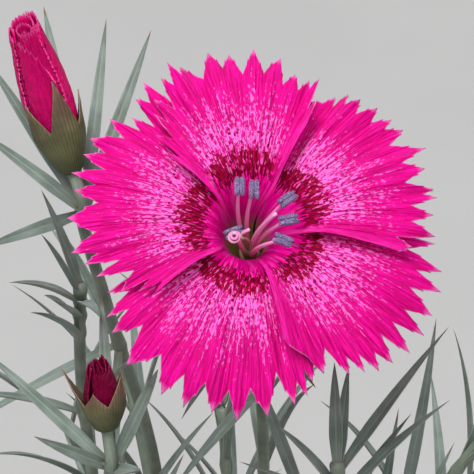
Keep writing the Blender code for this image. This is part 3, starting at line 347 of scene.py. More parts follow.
# Stems that are seen in front: foot on the soil, points on the way, and their leaves,
# each as (share of the stem at its root, tip as seen, bow towards the stem's upper side)
FRONT_STEMS = {
    "flower_stem": {
        "foot": (1.0, 6.0),
        "way": ((1.6, 5.0, 116.0), (1.2, 0.5, 143.0)),
        "carries": "bloom",
        "leaves": (
            (0.33, (-12.0, -60.0, 34.0), 3.0), (0.33, (14.0, -58.0, 34.0), 3.0),
            (0.56, (-9.0, -30.0, 44.0), 3.0), (0.56, (9.5, -42.0, 16.0), 2.5),
            (0.8, (-8.0, -22.0, 17.0), 2.0), (0.8, (7.0, -18.5, 22.0), 2.0)),
    },
    "upper_bud_stem": {
        "foot": (-10.0, 11.0),
        "way": ((-12.5, 10.0, 120.0), (-17.0, 1.0, 154.0), (-20.0, -5.0, 176.0)),
        "carries": "upper_bud",
        "leaves": (
            (0.42, (-34.0, -24.0, 52.0), 3.0), (0.42, (-16.0, -40.0, 40.0), 3.0),
            (0.7, (-30.5, -3.0, 26.0), 3.0), (0.7, (-14.5, 0.5, 30.0), 3.0),
            (0.76, (-23.3, 24.0, 19.0), -5.5), (0.78, (-29.6, 18.0, 15.0), -3.0),
            (0.76, (-16.3, 22.6, 20.0), -1.5), (0.76, (-11.3, 21.4, 18.0), -1.0),
            (0.76, (-31.0, 10.4, 13.0), 1.5)),
    },
    "left_shoot": {
        "foot": (-18.0, 1.0),
        "way": ((-20.0, 0.5, 120.0), (-21.0, -5.5, 152.0), (-20.4, -9.0, 170.0)),
        "carries": None,
        "leaves": (
            (0.4, (-38.0, -42.0, 36.0), 3.0), (0.62, (-33.0, -19.0, 26.0), 3.0),
            (0.62, (-12.5, -14.5, 26.0), 2.0),
            (0.95, (-27.2, -6.8, 11.0), 3.0), (0.95, (-17.0, -10.8, 9.0), 2.0),
            (0.98, (-23.6, -1.4, 12.0), 0.8), (1.0, (-23.6, 3.6, 14.0), 0.8),
            (0.9, (-23.3, -8.2, 8.0), 1.0), (0.84, (-24.8, -10.1, 14.0), 2.0)),
    },
    "lower_bud_stem": {
        "foot": (-13.5, -15.0),
        "way": ((-15.5, -18.5, 120.0), (-17.0, -25.0, 146.0), (-16.6, -27.8, 158.0)),
        "carries": "lower_bud",
        "leaves": (
            (0.5, (-31.0, -40.0, 18.0), 3.0), (0.5, (-5.0, -42.0, 12.0), 3.0),
            (0.78, (-30.0, -14.3, 10.0), -1.0), (0.74, (-24.5, -23.9, 4.0), 1.0),
            (0.76, (-12.6, -27.7, -1.0), -1.0), (0.8, (-11.3, -18.0, 6.0), -2.5),
            (0.8, (-10.6, -16.4, 11.0), -3.0), (0.78, (-16.9, -8.4, 15.0), -4.0)),
    },
    "right_shoot": {
        "foot": (12.0, -17.0),
        "way": ((12.0, -20.0, 120.0), (11.0, -26.5, 146.0), (9.6, -29.5, 160.5)),
        "carries": None,
        "leaves": (
            (0.5, (28.0, -42.0, 16.0), 3.0), (0.5, (-1.0, -44.0, 16.0), 3.0),
            (0.86, (21.9, -19.8, 10.0), 2.0), (0.86, (2.0, -22.3, 8.0), 3.0),
            (0.97, (21.8, -11.6, 14.0), 1.0), (0.8, (17.6, -21.3, 13.0), 1.0),
            (0.8, (-1.6, -26.7, 8.0), 1.5), (1.0, (9.0, -15.6, 11.0), 0.4),
            (0.98, (10.6, -16.0, 13.0), 0.4)),
    },
}

# Colours as a screen shows them
HOT = (238, 0, 144)
DEEP = (168, 0, 88)
PALE = (255, 116, 212)
SOFT = (244, 18, 162)
# painted highlight: lighter pink where a petal's free side rolls up and catches light
RIDGE_HIGHLIGHT = (250, 50, 172)
CRIMSON = (172, 0, 60)
DARKEST = (108, 0, 34)
DOT = (142, 0, 66)
FLECK = (255, 122, 200)
# painted glow: emission colours for the claw and the throat that stand in for light shining
# through the petals, and none
CLAW_GLOW = (235, 0, 128)
THROAT_GLOW = (64, 54, 32)
NO_GLOW = (0, 0, 0)
CLAW_HOT = (255, 4, 170)
CLAW_DEEP = (150, 0, 70)
CLAW_SOFT = (255, 96, 198)
THROAT_DARK = (150, 128, 74)
TIP_PALE = (255, 150, 218)
UNDERSIDE = (228, 96, 172)
FLOOR_LIGHTER = 1.05

# Streaks on a petal, hair to broad: width in degrees, length in millimetres and seed. Its dots
# and its flecks have the share of cells that are filled before the seed
PETAL_STREAKS = ((0.6, 3.4, 3.0), (1.25, 6.0, 8.0), (4.2, 12.0, 15.0), (0.85, 0.62, 31.0),
                 (3.6, 1.2, 21.0), (1.8, 0.75, 27.0), (4.4, 4.0, 41.0), (7.0, 5.0, 44.0))
PETAL_FLECKS = ((2.2, 0.6, 0.7, 2.0), (2.1, 1.25, 0.5, 7.0))

# Lights: name, place in metres, size, power
LIGHTS = (("key_light", (-0.2, -0.16, 0.97), 0.4, 7.4),
          ("fill_light", (0.2, -0.62, 0.72), 0.6, 2.2),
          ("back_light", (0.1, 0.75, 0.6), 0.8, 1.6))
ROOM_COLOUR = (0.9, 0.92, 0.95, 1.0)
ROOM_STRENGTH = 0.34


# The layout, in millimetres

def smoothstep(low, high, value):
    """0 below low, 1 above high, and a soft step between them."""
    share = min(max((value - low) / (high - low), 0.0), 1.0)
    return share * share * (3.0 - 2.0 * share)


def mix(first, last, share):
    """The value that share of the way from first to last."""
    return first + (last - first) * share


def seen(across, rise, away):
    """The point seen that far right of the bloom, above it and beyond it."""
    grow = 1.0 + away / VIEW_DISTANCE
    return BLOOM + RIGHT * (across * grow) + UP * (rise * grow) + AWAY * away


def in_bloom(across, crown, along):
    """A point on the bloom's own axes."""
    return BLOOM + RIGHT * across + CROWN * crown + AXIS * along


def flat_place(radius, turn):
    """A place round an axis, as two numbers."""
    return radius * math.cos(turn), radius * math.sin(turn)


def in_pot(radius, turn, height=0.0):
    """A point round the pot's axis."""
    return Vector((*flat_place(radius, turn), height))


def outward(side, other, turn):
    """The direction at a turn from side towards other."""
    return side * math.cos(turn) + other * math.sin(turn)


def through(points, steps):
    """A smooth route through points, with that many steps from each to the next."""
    ends = [points[0] * 2 - points[1], *points, points[-1] * 2 - points[-2]]
    route = []
    for before, first, last, after in zip(ends, ends[1:], ends[2:], ends[3:]):
        for step in range(steps):
            t = step / steps
            route.append(0.5 * (
                first * 2 + (last - before) * t
                + (before * 2 - first * 5 + last * 4 - after) * t * t
                + (first * 3 - before - last * 3 + after) * t * t * t))
    route.append(points[-1])
    return route


def spaced(points, most=2.5):
    """The points with more set between them, so that none lie further apart than most."""
    close = [points[0]]
    for first, last in zip(points, points[1:]):
        count = max(1, math.ceil((last - first).length / most))
        close.extend(first.lerp(last, step / count) for step in range(1, count + 1))
    return close


def arc(root, bend, tip, count):
    """Points of a curve from root to tip that bend draws towards itself."""
    return [root * (1 - t) ** 2 + bend * 2 * t * (1 - t) + tip * t * t
            for t in (step / count for step in range(count + 1))]


def axes_along(axis):
    """Two directions square to an axis and to each other."""
    side = axis.cross(RIGHT)
    if side.length < 0.2:
        side = axis.cross(UP)
    side.normalize()
    return side, axis.cross(side).normalized()


def throat(radius):
    """How far the limb lies below the bloom's plane, from the throat out to the fringe."""
    funnel = -THROAT_DEPTH * math.exp((THROAT_RADIUS - radius) / THROAT_FLARE)
    droop = max(radius - SHOULDER, 0.0) / (LIMB_REACH - SHOULDER)
    return funnel - LIMB_DROOP * droop * droop


def stem_route(foot, points, steps):
    """A stem: straight up out of the soil, then a smooth route through its points."""
    buried = Vector((foot.x, foot.y, SOIL_TOP - BURIED))
    ground = Vector((foot.x, foot.y, SOIL_TOP + SOIL_DOME + BARE_FOOT))
    return [buried, *through([ground, *points], steps)]


def at_share(route, share):
    """The point and the direction that share of the way along a route."""
    place = share * (len(route) - 1)
    step = min(int(place), len(route) - 2)
    along = (route[step + 1] - route[step]).normalized()
    return route[step].lerp(route[step + 1], place - step), along


class Foliage:
    """The routes that are taken so far, so that a new leaf is bent clear of them."""

    def __init__(self):
        self.taken = []

    def add(self, owner, points):
        """Notes the points of a leaf or stem of one node."""
        self.taken.extend((owner, point) for point in points)

    def is_clear(self, owner, points, clear):
        """Whether points keep their distance from the other nodes, the soil and the pot."""
        for point in points:
            reach = math.hypot(point.x, point.y)
            over_rim = reach > POT_RIM_RADIUS - INSIDE_RIM and point.z < POT_HEIGHT + ABOVE_RIM
            if point.z < SOIL_TOP + ABOVE_SOIL or over_rim:
                return False
            beside = point - BLOOM
            if beside.x > ROOM_BESIDE[0] and beside.dot(UP) > ROOM_BESIDE[1]:
                return False
            for other, place in self.taken:
                if other != owner and (place - point).length_squared < clear * clear:
                    return False
        return True


def note_bloom(foliage):
    """The room that the bloom, its calyx and the buds take."""
    for ring in range(1, BLOOM_RINGS + 1):
        radius = RING_STEP * ring
        count = RING_POINTS + ring * 4
        for i in range(count):
            turn = math.tau * i / count
            foliage.add("bloom", [in_bloom(
                *flat_place(radius, turn), throat(radius) - UNDER_PETALS)])
    for level in CALYX_POINTS:
        foliage.add("bloom", [BLOOM - AXIS * level])
    for name, bud in BUDS.items():
        foot, end = seen(*bud["foot"]), seen(*bud["end"])
        foliage.add(name, [foot.lerp(end, i / BUD_POINTS) for i in range(BUD_POINTS + 1)])


def blades_of(route, leaves):
    """The root, bend, tip, stem direction and width of each leaf of a stem."""
    found = []
    for share, tip, bow, width in leaves:
        point, way = at_share(route, share)
        span = tip - point
        out = span - way * span.dot(way)
        out = out.normalized() if out.length > LEAST_SPAN else RIGHT
        root = point + out * ROOT_OUT - way * ROOT_DOWN
        shift = (way * BOW_UP - out * BOW_BACK) * bow if bow > 0 else out * -bow
        found.append((root, root.lerp(tip, 0.5) + shift, tip, way, width))
    return found


def front_stem(name, foliage):
    """The route and leaves of a stem whose leaves are listed."""
    plan = FRONT_STEMS[name]
    points = [Vector(point) for point in plan["way"]]
    if plan["carries"]:
        end, axis, neck = BLOOM + AXIS * CALYX_BOTTOM, AXIS, BLOOM_NECK
        if plan["carries"] in BUDS:
            bud = BUDS[plan["carries"]]
            end, neck = seen(*bud["foot"]), BUD_NECK
            axis = (seen(*bud["end"]) - end).normalized()
        top = end - axis * (CALYX_WALL / 2 + GAP)
        points.extend((top - axis * neck, top))
    route = stem_route(Vector((*plan["foot"], 0.0)), points, FRONT_STEPS)
    leaves = [(share, seen(*tip), bow, LEAF_WIDTH) for share, tip, bow in plan["leaves"]]
    foliage.add(name, spaced(route))
    for root, bend, tip, _, _ in blades_of(route, leaves):
        foliage.add(name, arc(root, bend, tip, LEAF_POINTS))
    return route, leaves


def cushion_shoot(name, bearing, radius, height, foliage, rng):
    """The route and leaves of a shoot of the cushion, bent clear of what stands near it."""
    for _ in range(TRIES):
        turn = math.radians(bearing + rng.uniform(*CUSHION_TURN))
        foot = in_pot(radius + rng.uniform(*CUSHION_STRAY), turn)
        out = in_pot(1.0, turn)
        lean = rng.uniform(*CUSHION_LEAN) + radius * CUSHION_LEAN_OUT
        tall = height * rng.uniform(*CUSHION_TALL)
        start = SOIL_TOP + CUSHION_START
        points = [foot + out * (lean * tall * s * s) + Vector((0.0, 0.0, start + tall * s))
                  for s in CUSHION_WAY]
        route = stem_route(foot, points, CUSHION_STEPS)
        if foliage.is_clear(name, spaced(route[2:]), CUSHION_CLEAR):
            break
    foliage.add(name, spaced(route))
    leaves = []
    joints = max(JOINTS_LEAST, round(tall / CUSHION_JOINT))
    for joint in range(1, joints + 1):
        share = mix(FIRST_JOINT, 1.0, joint / joints)
        point, way = at_share(route, share)
        for half in (0, 1):
            tip = clear_tip(name, point, way, joint * 90.0 + half * 180.0, share, foliage, rng)
            if tip:
                leaves.append((share, *tip))
    return route, leaves


def clear_tip(name, point, way, bearing, share, foliage, rng):
    """A tip, bow and width for a leaf of the cushion that keeps clear, or None."""
    axes = axes_along(way)
    for attempt in range(TRIES):
        out = outward(*axes, math.radians(bearing + rng.uniform(*LEAF_TURN)))
        length = rng.uniform(*CUSHION_LEAF) * mix(*LEAF_SHORTENS, attempt / TRIES)
        length *= mix(*LENGTH_BY_HEIGHT, share)
        open_by = math.radians(rng.uniform(*LEAF_OPENS) * mix(*OPEN_BY_HEIGHT, share))
        tip = point + outward(way, out, open_by) * length
        bow = rng.uniform(*LEAF_BOW)
        width = LEAF_WIDTH * rng.uniform(*LEAF_VARIES)
        root, bend, _, _, _ = blades_of([point, point + way], [(0.0, tip, bow, width)])[0]
        line = arc(root, bend, tip, TIP_POINTS)
        if foliage.is_clear(name, line[1:], CLEAR):
            foliage.add(name, line)
            return tip, bow, width
    return None


def plant_plans():
    """The route and the leaves of every stem, by name, as the CAD model has them."""
    foliage = Foliage()
    note_bloom(foliage)
    plans = {name: front_stem(name, foliage) for name in FRONT_STEMS}
    rng = random.Random(SEED)
    number = 0
    for count, radius, first, height in CUSHION:
        for i in range(count):
            number += 1
            name = f"cushion_shoot_{number:02d}"
            bearing = first + 360.0 * i / count
            plans[name] = cushion_shoot(name, bearing, radius, height, foliage, rng)
    return plans


# Mesh work

def deselect():
    """Nothing is selected after this."""
    bpy.ops.object.select_all(action="DESELECT")


def pick(thing):
    """Selects one object alone and makes it the active one."""
    deselect()
    thing.select_set(True)
    bpy.context.view_layer.objects.active = thing


def applied(thing, kind, **settings):
    """Puts a modifier on a piece and applies it."""
    pick(thing)
    modifier = thing.modifiers.new(kind.lower(), kind)
    for key, value in settings.items():
        setattr(modifier, key, value)
    bpy.ops.object.modifier_apply(modifier=modifier.name)
    return thing


def thickened(sheet, thickness, weights=(), **settings):
    """Gives a sheet its thickness, which is less where its weights are low."""
    if weights:
        body = sheet.vertex_groups.new(name="body")
        for index, weight in enumerate(weights):
            body.add([index], weight, "REPLACE")
        settings["vertex_group"] = "body"
    return applied(sheet, "SOLIDIFY", thickness=thickness * MM, offset=0.0, **settings)


def welded(thing):
    """Merges the seams and poles of a piece and points its faces outwards."""
    pick(thing)
    bpy.ops.object.mode_set(mode="EDIT")
    bpy.ops.mesh.select_all(action="SELECT")
    bpy.ops.mesh.remove_doubles(threshold=WELD * MM)
    bpy.ops.mesh.normals_make_consistent(inside=False)
    bpy.ops.object.mode_set(mode="OBJECT")
    return thing


def laid_grid(name, columns, rows, place, maps=(), values=()):
    """A grid laid out by place(i, j), with UV maps and values by the same two numbers."""
    deselect()
    bpy.ops.mesh.primitive_grid_add(
        x_subdivisions=columns, y_subdivisions=rows, size=2.0, calc_uvs=False)
    thing = bpy.context.object
    thing.name = name
    mesh = thing.data
    at = [(i, j) for j in range(rows + 1) for i in range(columns + 1)]
    flat = []
    for i, j in at:
        flat.extend(place(i, j) * MM)
    mesh.vertices.foreach_set("co", flat)
    corners = [loop.vertex_index for loop in mesh.loops]
    for layer, uv_at in dict(maps).items():
        points = [uv_at(i, j) for i, j in at]
        uvs = mesh.uv_layers.new(name=layer)
        uvs.data.foreach_set("uv", [part for corner in corners for part in points[corner]])
    for label, value_at in dict(values).items():
        layer = mesh.attributes.new(label, "FLOAT", "POINT")
        layer.data.foreach_set("value", [value_at(i, j) for i, j in at])
    mesh.update()
    return thing


def even_map(columns, rows, times=1.0, reach=1.0):
    """A UV map that runs evenly round a grid, that many times, and up to reach along it."""
    return {"along": lambda i, j: (i / columns * times, j / rows * reach)}


def row_share(rows):
    """The share of a grid's rows that lies below each of its points."""
    return {"edge": lambda i, j: j / rows}


def fused(name, pieces):
    """One object of several."""
    deselect()
    for piece in pieces:
        piece.select_set(True)
    bpy.context.view_layer.objects.active = pieces[0]
    if len(pieces) > 1:
        bpy.ops.object.join()
    thing = bpy.context.object
    thing.name = name
    return thing


def dressed(pieces, name, nodes, finishes=()):
    """Joins pieces, names and smooths the result, sets what it rides on and hides the parts it
    replaces.
    """
    thing = fused(name, pieces)
    thing.data.name = name
    if finishes:
        thing.data.materials.clear()
        for label in finishes:
            thing.data.materials.append(finish(label))
    bpy.ops.object.shade_smooth()
    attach(thing, "root")
    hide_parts(*nodes)
    return thing


def carried(route):
    """Two directions square to a route at each of its points, and the one along it, untwisted."""
    found = []
    side = None
    for i in range(len(route)):
        along = (route[min(i + 1, len(route) - 1)] - route[max(i - 1, 0)]).normalized()
        if side is None:
            side, _ = axes_along(along)
        side = (side - along * side.dot(along)).normalized()
        found.append((side.copy(), along.cross(side).normalized(), along))
    return found


def tube(name, route, radii, sides, reach=1.0):
    """A closed round rod along a route; its UV map runs up to reach along it."""
    frames = carried(route)
    last = len(route) + 1

    def place(i, j):
        if j == 0:
            return route[0] - frames[0][2] * (radii[0] * 0.5)
        if j == last:
            return route[-1] + frames[-1][2] * (radii[-1] * 0.5)
        out = outward(*frames[j - 1][:2], math.tau * i / sides)
        return route[j - 1] + out * radii[j - 1]

    return welded(laid_grid(
        name, sides, last, place, even_map(sides, last, reach=reach), row_share(last)))


# Nodes and finishes

def shade(colour):
    """A screen's red, green and blue as the shader's colour; anything else as it is."""
    if not isinstance(colour, tuple) or len(colour) > 3:
        return colour
    parts = [part / 255.0 for part in colour]
    return (*(part / 12.92 if part <= 0.04045 else ((part + 0.055) / 1.055) ** 2.4
              for part in parts), 1.0)


class Wire:
    """The output of a node; arithmetic with it lays further nodes."""

    def __init__(self, lay, socket):
        self.lay = lay
        self.socket = socket

    def __add__(self, other):
        return self.lay.math("ADD", self, other)

    def __sub__(self, other):
        return self.lay.math("SUBTRACT", self, other)

    def __rsub__(self, other):
        return self.lay.math("SUBTRACT", other, self)

    def __mul__(self, other):
        return self.lay.math("MULTIPLY", self, other)

    def __truediv__(self, other):
        return self.lay.math("DIVIDE", self, other)

    def __rtruediv__(self, other):
        return self.lay.math("DIVIDE", other, self)

    def __abs__(self):
        return self.lay.math("ABSOLUTE", self)

    def step(self, low, high):
        """0 below low, 1 above high, and a soft step between them."""
        return self.lay.wire(
            "ShaderNodeMapRange", "Result", {"Value": self, "From Min": low, "From Max": high},
            interpolation_type="SMOOTHSTEP")

    def fade(self, low, high):
        """1 below low, 0 above high, and a soft step between them."""
        return 1.0 - self.step(low, high)


class Shading:
    """Lays out the nodes of one material or group."""

    def __init__(self, tree):
        self.tree = tree

    def put(self, socket, value):
        """Links a socket to a wire, or sets its value."""
        if isinstance(value, Wire):
            self.tree.links.new(value.socket, socket)
        else:
            socket.default_value = value

    def node(self, kind, values=(), **settings):
        """A node with its own settings, and values by the name or number of their inputs."""
        made = self.tree.nodes.new(kind)
        for key, value in settings.items():
            setattr(made, key, value)
        for key, value in dict(values).items():
            self.put(made.inputs[key], value)
        return made

    def wire(self, kind, output, values=(), **settings):
        """The wire from one output of a new node."""
        return Wire(self, self.node(kind, values, **settings).outputs[output])

    def math(self, operation, *values):
        """One step of arithmetic."""
        return self.wire("ShaderNodeMath", 0, enumerate(values), operation=operation)

    def blend(self, share, first, second):
        """A colour that share of the way from first to second."""
        return self.wire("ShaderNodeMix", 2, {
            "Factor": share, 6: shade(first), 7: shade(second)}, data_type="RGBA")

    def coated(self, colour, *coats):
        """A colour with coats over it, each as (share, colour)."""
        for share, coat in coats:
            colour = self.blend(share, colour, coat)
        return colour

    def vector(self, *parts):
        """A vector of three numbers."""
        return self.wire("ShaderNodeCombineXYZ", 0, enumerate(parts))

    def split(self, vector):
        """The three numbers of a vector."""
        return [Wire(self, part) for part in self.node(
            "ShaderNodeSeparateXYZ", {0: vector}).outputs]

    def noise(self, vector, scale, detail=2.0, rough=0.5):
        """Soft noise between 0 and 1."""
        return self.wire("ShaderNodeTexNoise", "Fac", {
            "Vector": vector, "Scale": scale, "Detail": detail, "Roughness": rough},
            noise_dimensions="3D")

    def uv(self, name):
        """The two numbers of a UV map."""
        return self.split(self.wire("ShaderNodeUVMap", 0, uv_map=name))[:2]

    def value(self, name):
        """A value kept on the mesh."""
        return self.wire("ShaderNodeAttribute", "Fac", attribute_name=name)

    def place(self):
        """The point on the piece, in its own coordinates."""
        return self.wire("ShaderNodeTexCoord", "Object")

    def group(self, name, *values):
        """A shared group with its own values."""
        return self.wire("ShaderNodeGroup", 0, enumerate(values),
                         node_tree=bpy.data.node_groups[name])

    def fan(self):
        """A petal's bearing in degrees and radius in millimetres."""
        turn, out = self.uv("fan")
        return turn * FAN_TURN, out * FAN_REACH

    def mottle(self, size, low=0.3, high=0.7):
        """Mottling of a size in metres."""
        return self.group("mottle", self.place(), size, low, high)


class Finish(Shading):
    """A material with its shader, to be given its colour and bump."""

    def __init__(self, name, rough, **constants):
        self.made = bpy.data.materials.new(name)
        self.made.use_nodes = True
        super().__init__(self.made.node_tree)
        self.inputs = self.tree.nodes["Principled BSDF"].inputs
        self.put(self.inputs["Roughness"], rough)
        for key, value in constants.items():
            self.put(self.inputs[key.replace("_", " ")], value)

    def done(self, colour, height, distance, strength, rough=None):
        """Links the colour, the bump of height times distance in metres and any roughness."""
        self.put(self.inputs["Base Color"], colour)
        if rough is not None:
            self.put(self.inputs["Roughness"], rough)
        self.put(self.inputs["Normal"], self.wire("ShaderNodeBump", "Normal", {
            "Strength": strength, "Distance": distance, "Height": height}))
        return self.made


def new_group(name, *labels):
    """An empty group with inputs and one Value that it puts out."""
    tree = bpy.data.node_groups.new(name, "ShaderNodeTree")
    for label in labels:
        kind = "NodeSocketVector" if label == "Vector" else "NodeSocketFloat"
        tree.interface.new_socket(name=label, in_out="INPUT", socket_type=kind)
    tree.interface.new_socket(name="Value", in_out="OUTPUT", socket_type="NodeSocketFloat")
    lay = Shading(tree)
    start = lay.node("NodeGroupInput")
    end = lay.node("NodeGroupOutput")
    return lay, [Wire(lay, start.outputs[label]) for label in labels], end.inputs[0]


def make_groups():
    """The effects that several finishes share: streaks along a surface, mottling and flecks."""
    lay, (across, along, width, length, seed), result = new_group(
        "streaks", "Across", "Along", "Width", "Length", "Seed")
    soft = lay.noise(lay.vector(across / width, along / length, seed), 1.0, 2.0, 0.55)
    lay.put(result, soft.step(0.3, 0.7))

    lay, (vector, size, low, high), result = new_group("mottle", "Vector", "Size", "Low", "High")
    lay.put(result, lay.noise(vector, 1.0 / size, 3.0, 0.6).step(low, high))

    lay, (across, along, width, length, filled, seed), result = new_group(
        "flecks", "Across", "Along", "Width", "Length", "Share", "Seed")
    cells = lay.node("ShaderNodeTexVoronoi", {
        "Vector": lay.vector(across / width, along / length, seed), "Scale": 1.0,
        "Randomness": 0.85}, voronoi_dimensions="3D", feature="F1")
    tint = lay.wire("ShaderNodeSeparateColor", 0, {0: Wire(lay, cells.outputs["Color"])})
    core = Wire(lay, cells.outputs["Distance"]).fade(0.16, 0.42)
    lay.put(result, lay.math("LESS_THAN", tint, filled) * core)


def petal_finish():
    """The upper face of a petal: claw, ragged ring, pale broken veins and hot margin."""
    # the emission strength sets the painted glow of the claw and the throat
    lay = Finish("petal face", 0.5, Emission_Strength=0.34, Specular_IOR_Level=0.08,
                 Subsurface_Weight=0.15, Subsurface_Radius=(1.0, 0.1, 0.5),
                 Subsurface_Scale=0.001)
    turn, radius = lay.fan()
    share, limb = lay.uv("limb")
    free = lay.value("free")
    hair, line, band, dash, blotch, spark, vein, broad = (
        lay.group("streaks", turn, radius, *sizes) for sizes in PETAL_STREAKS)
    dots, flecks = (lay.group("flecks", turn, radius, *sizes) for sizes in PETAL_FLECKS)

    # the margin, and the field of pale broken veins and dark dots within it
    side = abs(share - 0.5)
    middle = side.fade(0.3, 0.5)
    field = middle * (limb - band * 0.14).fade(0.3, 0.94)
    stripes = (dash * 0.52 + line * 0.34 + hair * 0.14 + field * 0.46).step(0.86, 0.98)
    colour = lay.coated(
        DEEP, (line * 0.6 + hair * 0.4, HOT), (band * 0.15, SOFT),
        (hair.step(0.62, 0.8) * 0.5, SOFT), (field * 0.2, SOFT),
        (stripes * (field * 0.6 + 0.35), PALE),
        (dots.step(0.15, 0.5) * middle * limb.fade(0.36, 0.66), DOT))

    # the ragged ring and the claw inside it
    dense = radius.step(4.0, 6.4) * (side * side * 6.0 + radius).fade(7.6, 10.2)
    ring = (dense * 0.61 + spark * 0.5 + blotch * 0.35 + line * 0.15).step(0.9, 0.98)
    ring = ring * (1.0 - free)
    depth = (hair * 0.5 + spark * 0.5).step(0.3, 0.75) * dense.step(0.3, 1.0)
    crimson = lay.coated(CRIMSON, (depth, DARKEST), (
        flecks.step(0.1, 0.6) * radius.step(5.8, 6.8) * 0.9, FLECK))
    vein = vein.step(0.42, 0.72) * radius.step(2.4, 5.4)
    claw = lay.coated(
        CLAW_HOT, (vein * 0.5, CLAW_DEEP), (broad.step(0.5, 0.8) * 0.45, CLAW_SOFT))
    in_throat = radius.fade(1.9, 3.0)
    rim = lay.math("MAXIMUM", limb.step(0.982, 0.998) * 0.55,
                   lay.value("tooth").step(0.72, 1.0) * 0.45)
    # the rolled free sides are lightened as a painted highlight where they catch light
    colour = lay.coated(
        colour, (radius.fade(6.2, 8.2), claw), (free * (hair * 0.6 + 0.15), RIDGE_HIGHLIGHT),
        (ring, crimson), (in_throat, THROAT_DARK), (rim * radius.step(12.0, 16.0), TIP_PALE))

    # painted glow: emission that stands in for light shining through the claw, none on its veins
    # and ring, and a dim one in the throat
    lay.put(lay.inputs["Emission Color"], lay.coated(
        NO_GLOW, (radius.step(3.0, 5.6) * radius.fade(6.0, 8.5), CLAW_GLOW),
        (vein * 0.8, NO_GLOW), (ring, NO_GLOW), (in_throat, THROAT_GLOW)))
    height = hair * 0.5 + line * 0.6 + lay.noise(lay.place(), 6500.0) * 0.35 + stripes * 0.5
    return lay.done(colour, height, 0.0002, 0.8, hair * 0.12 + 0.46)


def petal_back_finish():
    """The paler underside of a petal, with its veins."""
    lay = Finish("petal underside", 0.6, Sheen_Weight=0.1)
    turn, radius = lay.fan()
    line = lay.group("streaks", turn, radius, 1.2, 7.0, 4.0)
    wide = lay.group("streaks", turn, radius, 3.2, 10.0, 9.0)
    colour = lay.coated(UNDERSIDE, (line * 0.55, SOFT), (wide * 0.35, (200, 120, 160)),
                        (radius.fade(3.0, 9.0), (168, 158, 110)))
    return lay.done(colour, line, 0.0002, 0.6)


def bud_finish():
    """A bud's rolled petals: crimson magenta, darker low down, pale painted highlights on thin
    edges.
    """
    lay = Finish("bud petal", 0.5, Specular_IOR_Level=0.12)
    along = lay.uv("along")
    line = lay.group("streaks", *along, 0.012, 0.4, 1.0)
    wide = lay.group("streaks", *along, 0.06, 0.7, 6.0)
    # creases: streaks across the petals that the bump sinks; their darker colour is painted shade
    crease = lay.group("streaks", *along, 0.3, 0.035, 12.0)
    low = lay.split(lay.place())[2].fade(0.177, 0.186)
    # edge: the petals' margins, lightened as a painted highlight, fainter low down
    edge = lay.value("edge").step(0.975, 1.0)
    colour = lay.coated(
        (238, 0, 112), (line * 0.6, (255, 6, 140)), (wide * 0.36, (168, 0, 70)),
        (crease * 0.18, (140, 0, 56)), (low * 0.84, (100, 0, 34)),
        (edge * (0.6 - low * 0.5), (250, 90, 172)))
    height = lay.noise(lay.place(), 5200.0) * 0.5 - crease * 0.4 + line
    return lay.done(colour, height, 0.0002, 0.9)


def leaf_finish():
    """A grey-green leaf with a pale margin, fine lines along it and a tan tip."""
    lay = Finish("leaf blade", 0.55, Sheen_Weight=0.08)
    across, along = lay.uv("along")
    base = lay.mottle(0.006)
    line = lay.group("streaks", across, along, 0.035, 0.35, 5.0)
    from_middle = abs(across - 0.5)
    colour = lay.coated(
        (112, 128, 118), (base, (154, 168, 160)), (line * 0.4, (78, 94, 82)),
        (from_middle.fade(0.03, 0.1) * 0.4, (168, 178, 160)),
        (from_middle.step(0.43, 0.5) * 0.5, (176, 178, 158)),
        (along.fade(0.0, 0.16) * 0.5, (142, 132, 104)),
        ((base * 0.03 + along).step(0.93, 0.98), (150, 112, 78)))
    height = line * 0.6 + lay.noise(lay.place(), 4200.0) * 0.3
    return lay.done(colour, height, 0.00014, 0.7, base * 0.15 + 0.48)


def stem_finish():
    """A waxy grey-green stem with faint purple lines."""
    lay = Finish("stem skin", 0.5)
    line = lay.group("streaks", *lay.uv("along"), 0.06, 0.1, 3.0)
    colour = lay.coated((100, 114, 100), (lay.mottle(0.005), (138, 150, 134)),
                        (line * 0.25, (104, 92, 88)))
    return lay.done(colour, line, 0.00012, 0.5)


def calyx_finish():
    """An olive calyx with many fine lines and thin reddish edges on its teeth."""
    lay = Finish("calyx skin", 0.5, Specular_IOR_Level=0.35)
    around, up = lay.uv("along")
    wave = lay.math("SINE", around * (math.tau * CUP_RIBS))
    colour = lay.coated(
        (66, 70, 42), (lay.mottle(0.003), (100, 100, 64)),
        (wave.step(-0.2, 0.9) * 0.3, (64, 48, 40)), (up.step(0.3, 0.95) * 0.5, (122, 80, 74)),
        (up.fade(0.0, 0.3) * 0.4, (66, 80, 42)),
        (lay.value("edge").step(0.97, 1.0) * 0.5, (156, 128, 104)))
    height = lay.noise(lay.place(), 4000.0) * 0.5 + wave
    return lay.done(colour, height, 0.00004, 0.6)


def anther_finish():
    """Grainy, lavender grey pollen sacs."""
    lay = Finish("anther grain", 0.75)
    grain = lay.mottle(0.00011, 0.35, 0.65)
    colour = lay.coated((88, 62, 122), (grain, (212, 190, 240)),
                        (lay.mottle(0.0005) * 0.35, (150, 104, 172)))
    return lay.done(colour, grain, 0.00016, 1.0)


def filament_finish():
    """Pale pink filaments, greener towards their feet."""
    lay = Finish("filament", 0.42)
    across, along = lay.uv("along")
    line = lay.group("streaks", across, along, 0.12, 0.4, 2.0)
    colour = lay.coated(
        (176, 158, 118), (along.step(0.18, 0.55), (240, 146, 200)),
        (line * 0.45, (222, 92, 168)), (along.step(0.88, 1.0) * 0.6, (244, 196, 224)))
    return lay.done(colour, line, 0.00005, 0.6)


